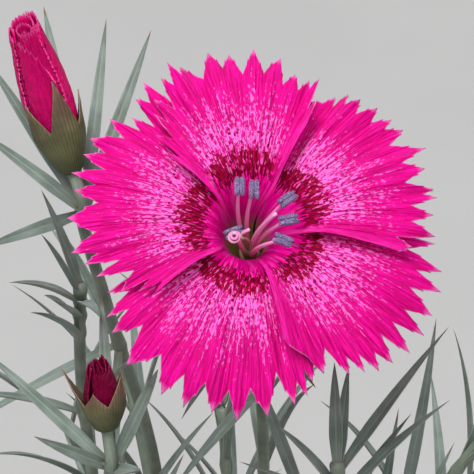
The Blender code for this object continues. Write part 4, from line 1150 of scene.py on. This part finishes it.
def clay_finish():
    """Fired clay: uneven orange brown, grain, turning marks and a bloom of lime."""
    lay = Finish("fired clay", 0.85)
    height = lay.split(lay.place())[2]
    spots = lay.mottle(0.0012, 0.4, 0.75)
    turned = lay.noise(lay.vector(0.0, 0.0, height), 900.0, 2.0, 0.6)
    lime = lay.mottle(0.012, 0.46, 0.7) * lay.math(
        "MAXIMUM", height.fade(0.004, 0.03), height.step(0.045, 0.06) * 0.7)
    colour = lay.coated(
        (176, 92, 58), (lay.mottle(0.03), (198, 116, 76)), (spots * 0.35, (150, 74, 48)),
        (turned.step(0.4, 0.7) * 0.2, (214, 140, 100)), (lime * 0.5, (216, 196, 178)))
    relief = turned * 0.9 + lay.noise(lay.place(), 2600.0, 3.0, 0.6) * 0.5
    return lay.done(colour, relief, 0.00035, 0.7, spots * 0.1 + 0.8)


def soil_finish():
    """Dark potting soil with lighter fibres and grains."""
    lay = Finish("potting soil", 0.95)
    colour = lay.coated((40, 28, 20), (lay.mottle(0.003), (74, 54, 38)),
                        (lay.mottle(0.0007, 0.55, 0.7) * 0.5, (120, 94, 66)))
    return lay.done(colour, lay.noise(lay.place(), 1500.0, 4.0, 0.65), 0.0012, 0.9)


def floor_finish():
    """The plain pale floor, in the colour that the panel gives."""
    lay = Finish("pale floor", 0.75)
    plain = bpy.context.scene.dianthus_colours.floor
    light = (*(part * FLOOR_LIGHTER for part in plain), 1.0)
    lay.put(lay.inputs["Base Color"], lay.blend(
        lay.mottle(0.05, 0.2, 0.8), (*plain, 1.0), light))
    return lay.made


MAKERS = {
    "petal": petal_finish, "petal back": petal_back_finish, "bud": bud_finish,
    "leaf": leaf_finish, "stem": stem_finish, "calyx": calyx_finish, "anther": anther_finish,
    "filament": filament_finish, "clay": clay_finish, "soil": soil_finish, "floor": floor_finish}
FINISHES = {}


def finish(name):
    """One of the finishes, made once."""
    if not FINISHES:
        make_groups()
    if name not in FINISHES:
        FINISHES[name] = MAKERS[name]()
    return FINISHES[name]


# The pieces

def fringe(teeth, rng):
    """The edge of a petal: (bearing, reach, curl) at each tooth and each cleft."""
    edge = []
    for (turn, reach), (next_turn, next_reach) in zip(teeth, teeth[1:]):
        edge.append((turn, reach, rng.uniform(-TOOTH_CURL, TOOTH_CURL)))
        width = math.radians(next_turn - turn) * reach
        depth = min(CLEFT_LEAST + CLEFT_SHARE * width, CLEFT_MOST) * rng.uniform(*CLEFT_VARIES)
        if width > TOOTH_LEAST:
            middle = (turn + next_turn) / 2 + rng.uniform(*CLEFT_STRAYS) * (next_turn - turn)
            edge.append((middle, min(reach, next_reach) - depth, 0.0))
    edge.append((*teeth[-1], 0.0))
    return edge


def petal_edge(teeth, rng):
    """The fine outline of a petal: (bearing, reach, curl, how far out on a tooth) by column."""
    coarse = fringe(teeth, rng)
    found = []
    for (turn, reach, curl), (next_turn, next_reach, next_curl) in zip(coarse, coarse[1:]):
        high, low = max(reach, next_reach), min(reach, next_reach)
        width = math.radians(next_turn - turn) * high
        count = max(3, round(math.hypot(width, high - low) / EDGE_STEP))
        notch = rng.uniform(*NOTCH_AT)
        for step in range(count):
            part = step / count
            down = 1.0 - part if next_reach > reach else part
            here = high - (high - low) * down ** SIDE_BOW
            if high - low > NOTCHED_FROM:
                here += NOTCH_HEIGHT * max(0.0, 1.0 - abs(down - notch) / NOTCH_WIDTH)
            tooth = (1.0 - down) if high - low > PALE_FROM else LOW_TOOTH
            found.append((mix(turn, next_turn, part), here, mix(curl, next_curl, part), tooth))
    found.append((*coarse[-1], 0.0))
    return found


def petal_height(radius, share, span, sides):
    """The height of a petal's face, share of the way across its span, with its sides' roll."""
    free = smoothstep(CLAW_FREE_FROM, CLAW_FREE_BY, radius)
    across = math.sin((share - 0.5) * math.pi) * 0.5 + 0.5
    cup = PETAL_CUP * math.cos((share - 0.5) * math.tau) * smoothstep(SHOULDER, LIMB_REACH, radius)
    roll = 0.0
    for lift, part in zip(sides, (share, 1.0 - share)):
        near = math.exp(-(radius * math.radians(span) * part / ROLL_WIDTH) ** 2)
        roll += near * (ROLL_UP if lift == OVER else ROLL_DOWN)
    roll = roll * smoothstep(4.5, 9.0, radius) * (1.0 - 0.6 * smoothstep(14.0, 19.0, radius))
    return throat(radius) + free * mix(*sides, across) + cup + roll


def relief(turn, radius, number):
    """The waves, pleats and veins of a petal."""
    return sum(
        height * smoothstep(low, high, radius)
        * noise.noise((turn / width, radius / length, number * 9.1 + shift))
        for height, low, high, width, length, shift in PETAL_RELIEF)


def make_petal(name, number, thickness):
    """One petal from its claw to its fringe."""
    first, last, teeth = PETALS[name]
    edge = petal_edge(teeth, random.Random(SEED + number))
    start, end = edge[0][0], edge[-1][0]
    columns = len(edge) - 1
    rows = len(CLAW) - 1 + LIMB_ROWS

    def spot(i, j):
        turn, reach, curl, tooth = edge[columns - i]
        if j < len(CLAW):
            return (turn, *CLAW[j], 0.0, curl, tooth)
        out = (j - len(CLAW) + 1) / LIMB_ROWS
        return turn, mix(CLAW[-1][0], reach, out), None, out, curl, tooth

    def place(i, j):
        turn, radius, level, out, curl, _ = spot(i, j)
        share = (turn - start) / (end - start)
        narrow = mix(CLAW_NARROWS, 1.0, smoothstep(THROAT_RADIUS, CLAW_WIDE_BY, radius))
        bearing = math.radians(mix((start + end) / 2, turn, narrow))
        if level is None:
            level = petal_height(radius, share, (end - start) * narrow, (first, last))
            level += relief(turn, radius, number) + curl * out ** 8
            ridge = CLAW_RIDGE * math.cos((share - 0.5) * math.tau * 2.5)
            level += ridge * smoothstep(1.9, 3.2, radius) * (1.0 - smoothstep(5.0, 9.0, radius))
        leans = (1.0 - smoothstep(2.2, 6.0, radius)) * smoothstep(-13.0, -9.5, level)
        return in_bloom(radius * math.cos(bearing) + THROAT_LEANS[0] * leans,
                        radius * math.sin(bearing) + THROAT_LEANS[1] * leans, level)

    def fan(i, j):
        turn, radius, level, _, _, _ = spot(i, j)
        if level is not None:
            radius += (level + THROAT_DEPTH) * 0.1
        return (turn + 180.0) / FAN_TURN, radius / FAN_REACH

    def limb(i, j):
        turn, _, _, out, _, _ = spot(i, j)
        return (turn - start) / (end - start), out

    def tooth_at(i, j):
        _, _, _, out, _, tooth = spot(i, j)
        return tooth * smoothstep(0.8, 1.0, out)

    def free_at(i, j):
        turn, radius, _, _, _, _ = spot(i, j)
        return max((math.exp(-(radius * math.radians(beside) / RIDGE_WIDTH) ** 2)
                    for lift, beside in ((first, turn - start), (last, end - turn))
                    if lift == OVER), default=0.0)

    def weight(i, j):
        _, radius, _, out, _, _ = spot(i, j)
        inward = min(i, columns - i) / columns * radius * 1.4
        from_fringe = (1.0 - out) * 20.0 if out > 0.0 else 20.0
        return smoothstep(0.0, THINS_WITHIN, min(inward, from_fringe))

    petal = laid_grid("petal_" + name, columns, rows, place, {"fan": fan, "limb": limb},
                      {"tooth": tooth_at, "free": free_at})
    petal.data.materials.append(finish("petal"))
    petal.data.materials.append(finish("petal back"))
    thickened(petal, thickness,
              [weight(i, j) for j in range(rows + 1) for i in range(columns + 1)],
              thickness_vertex_group=PETAL_EDGE, material_offset=1, material_offset_rim=0,
              use_even_offset=False)
    dressed([petal], "petal_" + name, ["bloom_petals"])


def make_stamens():
    """The ovary, the filaments with their anthers, and the coiled style."""
    pieces = [tube("ovary", [in_bloom(*point) for *point, _ in OVARY],
                   [radius for *_, radius in OVARY], 24, reach=0.15)]
    sacs = []
    steps = FILAMENT_STEPS
    for i, (across, crown, along, lean) in enumerate((*ANTHERS, (*BARE_FILAMENT, 0.0))):
        tip = in_bloom(across, crown, along)
        turn = math.atan2(crown, across)
        root = in_bloom(FILAMENT_CIRCLE * math.cos(turn) - FILAMENTS_LEFT,
                        FILAMENT_CIRCLE * math.sin(turn), OVARY_TOP - 1.0)
        radii = [mix(FILAMENT_FOOT, FILAMENT_RADIUS, step / steps) for step in range(steps + 1)]
        bare = i == len(ANTHERS)
        if bare:
            radii = [radius * BARE_THICKER for radius in radii]
            radii[-1] *= BARE_TIP
        route = arc(root, in_bloom(*BENDS[i]), tip, steps)
        pieces.append(tube(f"filament_{i}", route, radii, 14))
        if not bare:
            sacs.extend(make_anther(tip, lean, i))
    route = arc(in_bloom(0.0, 0.0, OVARY_TOP - 1.0), in_bloom(*STYLE_BEND),
                in_bloom(*STYLE_AT), 16)
    for step in range(1, STYLE_STEPS + 1):
        turn = math.tau * step / STYLE_TURN_STEPS
        curl = STYLE_CURL * (1.0 - 0.72 * step / STYLE_STEPS)
        route.append(in_bloom(
            STYLE_AT[0] - STYLE_CURL + curl * math.cos(turn),
            STYLE_AT[1] + curl * math.sin(turn), STYLE_AT[2] + 0.02 * step))
    pieces.append(tube("style", route, [STYLE_RADIUS] * len(route), 12))
    branch = through([in_bloom(*point) for point in STYLE_BRANCH], 6)
    pieces.append(tube("style_branch", branch, [BRANCH_RADIUS] * len(branch), 12))
    dressed(pieces, "filaments_and_style", ["bloom_stamens"], ["filament"])
    dressed(sacs, "anthers", ["bloom_stamens"], ["anther"])


def make_anther(centre, lean, number):
    """An anther: two plump, grainy lobes side by side, parted a little at their lower end."""
    long_way = (RIGHT * math.sin(lean) + CROWN * math.cos(lean)).normalized()
    wide_way = AXIS.cross(long_way)
    lobes = []
    for hand in (-1.0, 1.0):
        deselect()
        bpy.ops.mesh.primitive_uv_sphere_add(segments=22, ring_count=20, radius=1.0)
        lobe = bpy.context.object
        for vert in lobe.data.vertices:
            x, y, z = vert.co
            blunt = math.copysign(abs(z) ** LOBE_BLUNT, z)
            grain = 1.0 + LOBE_GRAIN * noise.noise(
                (x * 4.5, y * 4.5, z * 7.0 + number * 5.0 + hand))
            full = max(1.0 - z * z, 0.03) ** -0.16
            seam = SEAM_DEPTH * math.exp(-((x - hand * 0.15) / SEAM_WIDTH) ** 2) * (y > 0)
            apart = 0.238 + 0.05 * smoothstep(0.3, 1.0, -z) + 0.02 * smoothstep(0.6, 1.0, z)
            across = x * grain * full * LOBE_WIDE
            stand = y * grain * full * (LOBE_HIGH - seam)
            vert.co = (centre + long_way * (blunt * grain * ANTHER_LENGTH / 2)
                       + wide_way * (hand * apart * ANTHER_WIDTH + across) + AXIS * stand) * MM
        lobes.append(lobe)
    return lobes


def toothed_cup(name, foot, axis, radius_at, bottom, tooth_foot, tooth_top, twist, teeth, wall):
    """A calyx: a closed-bottomed tube whose mouth is cut into five pointed teeth."""
    axes = axes_along(axis)
    columns = TEETH * TOOTH_COLUMNS
    half = TOOTH_COLUMNS / 2

    def level_at(i, j):
        point = abs((i % TOOTH_COLUMNS) - half) / half
        reach = teeth[i // TOOTH_COLUMNS % TEETH][0]
        top = mix(tooth_foot + (tooth_top - tooth_foot) * reach, tooth_foot, point ** 0.8)
        if j <= CUP_TUBE_ROWS:
            return mix(bottom, tooth_foot - 1.0, max(j - 1, 0) / (CUP_TUBE_ROWS - 1))
        return mix(tooth_foot - 1.0, top, (j - CUP_TUBE_ROWS) / (CUP_ROWS - CUP_TUBE_ROWS))

    def place(i, j):
        if j == 0:
            return foot + axis * bottom
        level = level_at(i, j)
        turn = math.tau * i / columns + twist
        radius = radius_at(level) + (CALYX_WALL - wall) / 2
        radius *= 1.0 - 0.22 * max(0.0, 1.0 - (j - 1) / 3.0) ** 2
        radius += 0.02 * math.cos(turn * CUP_RIBS) * smoothstep(1.0, 4.0, j)
        radius += teeth[i // TOOTH_COLUMNS % TEETH][1] * max(level - tooth_foot, 0.0)
        return foot + axis * level + outward(*axes, turn) * radius

    cup = welded(laid_grid(
        name, columns, CUP_ROWS, place,
        {"along": lambda i, j: (i / columns, (level_at(i, j) - bottom) / (tooth_top - bottom))},
        row_share(CUP_ROWS)))
    weights = [smoothstep(1.0, 0.85, edge.value) for edge in cup.data.attributes["edge"].data]
    return thickened(cup, wall, weights, thickness_vertex_group=CALYX_EDGE)


def make_calyx():
    """The calyx under the bloom, with four scales pressed to its foot."""
    def radius_at(level):
        into = max(level, -THROAT_DEPTH)
        clasp = THROAT_RADIUS - THROAT_FLARE * math.log(-into / THROAT_DEPTH) + CLASP
        return max(clasp if level > CLASP_FROM else 0.0,
                   mix(CALYX_FOOT_RADIUS, CALYX_RADIUS, smoothstep(-26, -14, level)))

    pieces = [toothed_cup(
        "calyx_tube", BLOOM, AXIS, radius_at, CALYX_BOTTOM, CALYX_TOOTH_FOOT, CALYX_TOOTH_TOP,
        0.3, BLOOM_TEETH, 0.4)]
    for i in range(SCALES):
        out = outward(*axes_along(AXIS), math.tau * i / SCALES)
        root, bend, tip = (BLOOM + AXIS * (CALYX_BOTTOM + up) + out * far
                           for up, far in SCALE_LINE)
        pieces.append(blade(
            f"scale_{i}", root, bend, tip, AXIS, SCALE_WIDTH, 16, 16, 0.0, 0.45))
    dressed(pieces, "calyx_of_the_bloom", ["bloom_calyx"], ["calyx"])


def through_values(values, share):
    """The value that share of the way along evenly spaced values, with soft steps."""
    place = share * (len(values) - 1)
    step = min(int(place), len(values) - 2)
    part = place - step
    return mix(values[step], values[step + 1], smoothstep(0.0, 1.0, part) * 0.4 + part * 0.6)


def notched(place):
    """A row of teeth, one for each whole step of place: 1 where it starts, 0 halfway."""
    return abs(place % 1.0 - 0.5) * 2.0


def make_bud(name):
    """A bud: its toothed cup, a roll of petals and the outer petals wrapped round it."""
    bud = BUDS[name]
    foot, end = seen(*bud["foot"]), seen(*bud["end"])
    axis = (end - foot).normalized()
    half = bud["width"] / 2
    base = foot + axis * (CALYX_WALL / 2 + GAP + 0.2)
    length = (end - base).length
    axes = axes_along(axis)

    def radius_at(level):
        clasp = through_values(bud["radii"], min(max(level - 0.8, 0.0) / length, 1.0))
        body = mix(half * BUD_FOOT, half, smoothstep(-1.0, bud["calyx"], level))
        return max(body, clasp + 0.12)

    cup = toothed_cup(
        name + "_cup", foot, axis, radius_at, 0.0, bud["calyx"], bud["calyx"] + bud["tooth"],
        bud["twist"], bud["teeth"], 0.3)
    dressed([cup], name + "_cup", [name + "_calyx"], ["calyx"])

    def spot(turn, share, factor, rise):
        radius = through_values(bud["radii"], min(share, 1.0)) * factor
        for height, close, up in ((0.05, 1.6, 4.0), (0.06, 3.2, 14.0)):
            radius += height * noise.noise(
                (math.cos(turn) * close, math.sin(turn) * close, share * up))
        slant = bud["slant"] * math.cos(turn) * smoothstep(0.5, 1.0, share) * factor
        along = length * share * bud["tall"] + rise + slant
        return base + axis * along + outward(*axes, turn) * radius

    columns, rows = CORE_GRID

    def core(i, j):
        share, wound = j / rows, i / columns
        rise = share ** 10 * (0.35 * notched(wound * CORE_TEETH) - bud["sinks"] * (1.0 - wound))
        rise += share ** 6 * bud["ragged"] * noise.noise((wound * 11.0, 0.5, 0.5))
        factor = mix(bud["hole"], CORE_OUTSIDE, wound)
        return spot(math.tau * bud["turns"] * wound, share, factor, rise)

    sheets = [laid_grid(name + "_roll", columns, rows, core,
                        even_map(columns, rows, CORE_MAP_TURNS), row_share(rows))]
    across, tall = WRAP_GRID
    for number, (first, last, low, high, tops) in enumerate(bud["wraps"]):
        notches = math.radians(last - first) * WRAP_TEETH

        def wrap(i, j):
            part, up = i / across, j / tall
            tooth = notched(part * notches) - 0.5
            share = (through_values(tops, part) + 0.04 * tooth) * j / tall
            turn = math.radians(mix(first, last, part))
            turn += 0.1 * (notched(j * SIDE_TEETH) - 0.5) * (
                smoothstep(0.8, 1.0, part) - smoothstep(0.2, 0.0, part))
            stand = mix(low, high, smoothstep(0.0, 0.5, part) if high > low else part)
            stand += 0.03 * math.exp(-((1.0 - part) * 14.0) ** 2)
            stand += 0.07 * smoothstep(0.86, 1.0, up) * smoothstep(0.0, 0.2, part)
            return spot(turn, share, stand, 0.0)

        sheets.append(laid_grid(
            f"{name}_wrap_{number}", across, tall, wrap, even_map(across, tall),
            {"edge": lambda i, j: max(j / tall, 1.0 - min(i, across - i) / across)}))
    rolled = thickened(fused(name + "_roll", sheets), BUD_SHEET)
    dressed([rolled], name + "_roll", [name + "_petals"], ["bud"])


def inner_way(along, across, stem_way):
    """The direction square to a leaf's length and width that looks to its stem."""
    inner = along.cross(across)
    return inner if inner.dot(stem_way) >= 0 else -inner


def blade(name, root, bend, tip, stem_way, width, rows, points, twist, depth):
    """A leaf: a channelled blade from root to tip, its inner side towards the stem."""
    route = arc(root, bend, tip, rows)
    flat = stem_way.cross((tip - root).normalized())
    if flat.length < 0.15:
        flat = stem_way.cross(bend - root)
    side = flat.normalized()
    frames = []
    for step in range(rows + 1):
        low = min(step, rows - 1)
        along = (route[low + 1] - route[low]).normalized()
        across = (side - along * side.dot(along)).normalized()
        inner = inner_way(along, across, stem_way)
        lean = twist * (step / rows) ** 1.5
        frames.append((outward(across, inner, lean),
                       inner * math.cos(lean) - across * math.sin(lean)))

    def place(i, j):
        if j in (0, rows):
            return route[j]
        share = j / rows
        across, inner = frames[j]
        belly = mix(LEAF_ROOT_WIDTH, 1.0, smoothstep(0.0, BELLY_BY, share))
        half = width / 2 * belly * (1.0 - share ** NARROWS)
        turn = math.tau * i / points
        reach, stand = math.cos(turn), math.sin(turn)
        fold = FOLD * min(half, 1.2) * abs(reach) ** 1.5
        thick = depth * mix(1.0, TIP_THINS, share) * min(1.0, half * 1.4)
        groove = GROOVE[0] * thick * math.exp(-(reach / GROOVE[1]) ** 2) if stand > 0 else 0.0
        keel = KEEL[0] * thick * math.exp(-(reach / KEEL[1]) ** 2) if stand < 0 else 0.0
        return (route[j] + across * (half * reach)
                + inner * (fold + stand * thick / 2 - groove - keel))

    return welded(laid_grid(
        name, points, rows, place,
        {"along": lambda i, j: (0.5 + 0.5 * math.cos(math.tau * i / points), j / rows)},
        row_share(rows)))


def facing(root, bend, tip, stem_way):
    """The twist that turns the face of a leaf part of the way to the viewer."""
    along = (tip - bend).normalized()
    side = stem_way.cross(tip - root)
    side = (side - along * side.dot(along)).normalized()
    turn = math.atan2(AWAY.dot(side), -AWAY.dot(inner_way(along, side, stem_way)))
    if abs(turn) > math.pi / 2:
        turn -= math.copysign(math.pi, turn)
    return min(max(-turn * FACES, -1.0), 1.0)


def make_shoot(name, route, leaves, rng):
    """One stem with its swollen joints and its leaves, as one piece."""
    front = name in FRONT_STEMS
    steps, sides, rows, points = (6, 18, 30, 20) if front else (4, 12, 18, 14)
    line = [route[0], *through(route[1:], steps)]
    end = at_share(line, 1.0)[1]
    joints = [share * (len(route) - 1) for share, *_ in leaves]
    radii = []
    for i in range(len(line)):
        place = 1.0 + (i - 1) / steps if i else 0.0
        near = min((abs(place - joint) for joint in joints), default=9.0)
        swell = (JOINT_SWELL - 1.0) * math.exp(-(near / JOINT_REACH) ** 2)
        radii.append(STEM_RADIUS * mix(1.0, STEM_TAPER, i / len(line)) * (1.0 + swell))
    if front and FRONT_STEMS[name]["carries"]:
        line.append(line[-1] + end * 0.6)
        radii.append(radii[-1] * 1.2)
    pieces = [tube(name + "_stem", line, radii, sides)]
    pieces[0].data.materials.append(finish("stem"))
    for number, (root, bend, tip, way, width) in enumerate(blades_of(route, leaves)):
        twist = rng.uniform(-LEAF_TWIST, LEAF_TWIST)
        if front:
            twist = facing(root, bend, tip, way) + twist * 0.3
        leaf = blade(f"{name}_leaf_{number}", root, bend, tip, way, width * LEAF_SLIMMER,
                     rows, points, twist, LEAF_DEPTH)
        leaf.data.materials.append(finish("leaf"))
        pieces.append(leaf)
    dressed(pieces, name + "_with_leaves", [name])


def pot_radius(height):
    """The outer radius of the pot's wall at a height."""
    return mix(POT_FOOT_RADIUS, POT_RIM_RADIUS - RIM_STANDS_OUT, height / POT_HEIGHT)


def rounded(profile, radius, steps=4):
    """A profile with its corners rounded."""
    found = [profile[0]]
    for before, corner, after in zip(profile, profile[1:], profile[2:]):
        corner = Vector(corner)
        one, two = Vector(before) - corner, Vector(after) - corner
        reach = min(radius, one.length * 0.45, two.length * 0.45)
        first, last = corner + one.normalized() * reach, corner + two.normalized() * reach
        found.extend(tuple(point) for point in arc(first, corner, last, steps))
    found.append(profile[-1])
    return found


def make_pot():
    """The clay pot with its thick rim and drain holes."""
    rim_foot = POT_HEIGHT - RIM_HEIGHT
    edge = EDGE_ROUND
    inner = pot_radius(POT_HEIGHT) - POT_WALL
    floor_edge = pot_radius(POT_FLOOR) - POT_WALL
    wall = [(mix(inner, floor_edge, s), mix(POT_HEIGHT - edge, POT_FLOOR + 2.0, s))
            for s in (0.9, 0.7, 0.5, 0.3, 0.1, 0.0)]
    rim_low = POT_RIM_RADIUS - RIM_DRAFT
    profile = rounded([
        (0.0, POT_FLOOR), (floor_edge, POT_FLOOR), *wall, (inner + edge, POT_HEIGHT),
        (POT_RIM_RADIUS - edge, POT_HEIGHT), (POT_RIM_RADIUS, POT_HEIGHT - edge),
        (rim_low, rim_foot + edge), (rim_low - edge, rim_foot), (pot_radius(rim_foot), rim_foot),
        (POT_FOOT_RADIUS + 0.3, edge), (POT_FOOT_RADIUS - edge, 0.0), (0.0, 0.0)], CORNER_ROUND)
    fine = [profile[0]]
    for first, last in zip(profile, profile[1:]):
        count = max(1, round(math.dist(first, last) / 2.5))
        fine.extend((mix(first[0], last[0], s / count), mix(first[1], last[1], s / count))
                    for s in range(1, count + 1))
    columns, rows = 128, len(fine) - 1

    def place(i, j):
        radius, height = fine[j]
        turn = math.tau * i / columns
        if 0 < j < rows:
            radius += 0.12 * noise.noise(
                (math.cos(turn) * 1.5, math.sin(turn) * 1.5, height / 30.0)) \
                + 0.05 * noise.noise((math.cos(turn) * 0.4, 3.0, height / 2.2))
        return in_pot(radius, turn, height)

    pot = welded(laid_grid("clay_pot", columns, rows, place, even_map(columns, rows)))
    drills = []
    deselect()
    for i in range(DRAIN_HOLES):
        centre = (*flat_place(DRAIN_CIRCLE, math.tau * i / DRAIN_HOLES), POT_FLOOR / 2)
        bpy.ops.mesh.primitive_cylinder_add(
            vertices=28, radius=DRAIN_RADIUS * MM, depth=(POT_FLOOR + 4.0) * MM,
            location=[part * MM for part in centre])
        drills.append(bpy.context.object)
    drill = fused("drills", drills)
    applied(pot, "BOOLEAN", operation="DIFFERENCE", object=drill, solver="EXACT")
    bpy.data.objects.remove(drill)
    dressed([pot], "clay_pot", ["pot"], ["clay"])
    bpy.ops.object.shade_smooth_by_angle(angle=math.radians(40.0))


def soil_height(x, y, wall):
    """The height of the lumpy soil at a place."""
    reach = math.hypot(x, y) / wall
    height = SOIL_TOP + SOIL_DOME * (1.0 - reach ** 2)
    height += 0.9 * noise.noise((x / 6.0, y / 6.0, 3.0))
    height += 0.7 * abs(noise.noise((x / 2.2, y / 2.2, 9.0)))
    height += 0.35 * noise.noise((x / 0.9, y / 0.9, 5.0))
    return height - 0.5 * smoothstep(0.93, 1.0, reach)


def make_soil():
    """The soil with its lumps, and loose crumbs and grit on it."""
    low = POT_FLOOR + GAP
    floor_edge = pot_radius(POT_FLOOR) - POT_WALL - GAP
    wall = pot_radius(SOIL_TOP) - POT_WALL - GAP
    columns, rings = 150, 52
    below = ((wall - 0.2, SOIL_TOP - 2.0), (floor_edge, low), (0.0, low))

    def place(i, j):
        turn = math.tau * i / columns
        if j > rings:
            radius, height = below[j - rings - 1]
            return in_pot(radius, turn, height)
        x, y = flat_place(wall * j / rings, turn)
        return Vector((x, y, soil_height(x, y, wall)))

    rows = rings + len(below)
    soil = welded(laid_grid("soil_bed", columns, rows, place, even_map(columns, rows)))
    dressed([soil], "soil_bed", ["soil"], ["soil"])
    rng = random.Random(SEED + 5)
    crumbs = []
    deselect()
    bpy.ops.mesh.primitive_ico_sphere_add(subdivisions=2, radius=MM)
    first = bpy.context.object
    for number in range(bpy.context.scene.dianthus_sizes.crumbs):
        crumb = first.copy()
        crumb.data = first.data.copy()
        bpy.context.collection.objects.link(crumb)
        turn = rng.uniform(0.0, math.tau)
        x, y = flat_place(wall * CRUMBS_WITHIN * math.sqrt(rng.random()), turn)
        size = rng.uniform(*CRUMB_SIZE) * (BIG_FACTOR if rng.random() < BIG_SHARE else 1.0)
        stretch = [rng.uniform(*reach) for reach in (CRUMB_WIDE, CRUMB_WIDE, CRUMB_FLAT)]
        seat = Vector((x, y, soil_height(x, y, wall) + size * 0.3))
        for vert in crumb.data.vertices:
            way = vert.co / MM
            lump = size * (1.0 + CRUMB_LUMPS * noise.noise(
                way * 1.6 + Vector((number * 3.1, 0.0, 0.0))))
            vert.co = (seat + Vector(
                tuple(part * pull * lump for part, pull in zip(way, stretch)))) * MM
        crumbs.append(crumb)
    bpy.data.objects.remove(first)
    dressed(crumbs, "soil_crumbs", ["soil"], ["soil"])


def placed(name, data, place, way):
    """A light or camera at a place in metres, looking along way."""
    thing = bpy.data.objects.new(name, data)
    bpy.context.scene.collection.objects.link(thing)
    thing.location = place
    thing.rotation_euler = way.to_track_quat("-Z", "Y").to_euler()
    return thing


def make_stage():
    """The floor, the lights and the camera."""
    deselect()
    bpy.ops.mesh.primitive_plane_add(size=4.0, location=(0.0, 0.0, 0.0))
    floor = bpy.context.object
    floor.name = "floor"
    floor.data.materials.append(finish("floor"))
    aim = seen(*AIM) * MM
    for name, place, size, power in LIGHTS:
        light = bpy.data.lights.new(name, "AREA")
        light.energy = power
        light.size = size
        placed(name, light, place, aim - Vector(place))
    scene = bpy.context.scene
    scene.world = bpy.data.worlds.new("soft_room")
    scene.world.use_nodes = True
    room = scene.world.node_tree.nodes["Background"].inputs
    room["Color"].default_value = ROOM_COLOUR
    room["Strength"].default_value = ROOM_STRENGTH
    scene.view_settings.view_transform = "Standard"
    lens = bpy.data.cameras.new("camera")
    lens.sensor_width = 36.0
    lens.lens = lens.sensor_width * VIEW_DISTANCE / FRAME_WIDTH
    lens.clip_start = 0.01
    scene.camera = placed("camera", lens, aim - AWAY * VIEW_DISTANCE * MM, AWAY)


# The add-on

class DianthusSizes(bpy.types.PropertyGroup):
    """Sizes that a user would change."""

    petal_thickness: FloatProperty(
        name="Petal thickness", description="Thickness of a petal's middle, in millimetres",
        default=0.24, min=0.1, max=0.5)
    crumbs: IntProperty(
        name="Crumbs", description="How many loose crumbs lie on the soil",
        default=420, min=0, max=900)


class DianthusColours(bpy.types.PropertyGroup):
    """Colours that a user would change."""

    floor: FloatVectorProperty(
        name="Floor", description="Colour of the floor", subtype="COLOR", size=3,
        default=(0.5, 0.495, 0.49), min=0.0, max=1.0)


class DIANTHUS_OT_pot(bpy.types.Operator):
    """Make the clay pot"""

    bl_idname = "dianthus.pot"
    bl_label = "Pot"

    def execute(self, context):
        make_pot()
        return {"FINISHED"}


class DIANTHUS_OT_soil(bpy.types.Operator):
    """Make the soil and its crumbs"""

    bl_idname = "dianthus.soil"
    bl_label = "Soil"

    def execute(self, context):
        make_soil()
        return {"FINISHED"}


class DIANTHUS_OT_shoots(bpy.types.Operator):
    """Make every stem with its leaves"""

    bl_idname = "dianthus.shoots"
    bl_label = "Stems and leaves"

    def execute(self, context):
        rng = random.Random(SEED + 60)
        for name, (route, leaves) in plant_plans().items():
            make_shoot(name, route, leaves, rng)
        return {"FINISHED"}


class DIANTHUS_OT_calyx(bpy.types.Operator):
    """Make the calyx of the bloom"""

    bl_idname = "dianthus.calyx"
    bl_label = "Calyx"

    def execute(self, context):
        make_calyx()
        return {"FINISHED"}


class DIANTHUS_OT_petals(bpy.types.Operator):
    """Make the five fringed petals"""

    bl_idname = "dianthus.petals"
    bl_label = "Petals"

    def execute(self, context):
        thickness = context.scene.dianthus_sizes.petal_thickness
        for number, name in enumerate(PETALS):
            make_petal(name, number, thickness)
        return {"FINISHED"}


class DIANTHUS_OT_stamens(bpy.types.Operator):
    """Make the filaments, the anthers and the style"""

    bl_idname = "dianthus.stamens"
    bl_label = "Stamens"

    def execute(self, context):
        make_stamens()
        return {"FINISHED"}


class DIANTHUS_OT_buds(bpy.types.Operator):
    """Make the two buds"""

    bl_idname = "dianthus.buds"
    bl_label = "Buds"

    def execute(self, context):
        for name in BUDS:
            make_bud(name)
        return {"FINISHED"}


class DIANTHUS_OT_stage(bpy.types.Operator):
    """Make the floor, the lights and the camera"""

    bl_idname = "dianthus.stage"
    bl_label = "Stage"

    def execute(self, context):
        make_stage()
        return {"FINISHED"}


OPERATORS = (
    DIANTHUS_OT_stage, DIANTHUS_OT_pot, DIANTHUS_OT_soil, DIANTHUS_OT_shoots,
    DIANTHUS_OT_calyx, DIANTHUS_OT_petals, DIANTHUS_OT_stamens, DIANTHUS_OT_buds)


class DIANTHUS_PT_panel(bpy.types.Panel):
    """The pieces of the plant"""

    bl_idname = "DIANTHUS_PT_panel"
    bl_label = "Potted Dianthus"
    bl_space_type = "VIEW_3D"
    bl_region_type = "UI"
    bl_category = "Dianthus"

    def draw(self, context):
        sizes = context.scene.dianthus_sizes
        self.layout.prop(sizes, "petal_thickness")
        self.layout.prop(sizes, "crumbs")
        self.layout.prop(context.scene.dianthus_colours, "floor")
        for operator in OPERATORS:
            self.layout.operator(operator.bl_idname)


CLASSES = (DianthusSizes, DianthusColours, *OPERATORS, DIANTHUS_PT_panel)


def register():
    """Adds the classes and the scene's settings."""
    for each in CLASSES:
        bpy.utils.register_class(each)
    bpy.types.Scene.dianthus_sizes = PointerProperty(type=DianthusSizes)
    bpy.types.Scene.dianthus_colours = PointerProperty(type=DianthusColours)


def unregister():
    """Takes them away again."""
    del bpy.types.Scene.dianthus_colours
    del bpy.types.Scene.dianthus_sizes
    for each in reversed(CLASSES):
        bpy.utils.unregister_class(each)


def main():
    """Makes the whole plant on its stage."""
    register()
    deselect()
    for operator in OPERATORS:
        part = operator.bl_idname.split(".")[1]
        getattr(bpy.ops.dianthus, part)()
    deselect()


if __name__ == "__main__":
    main()
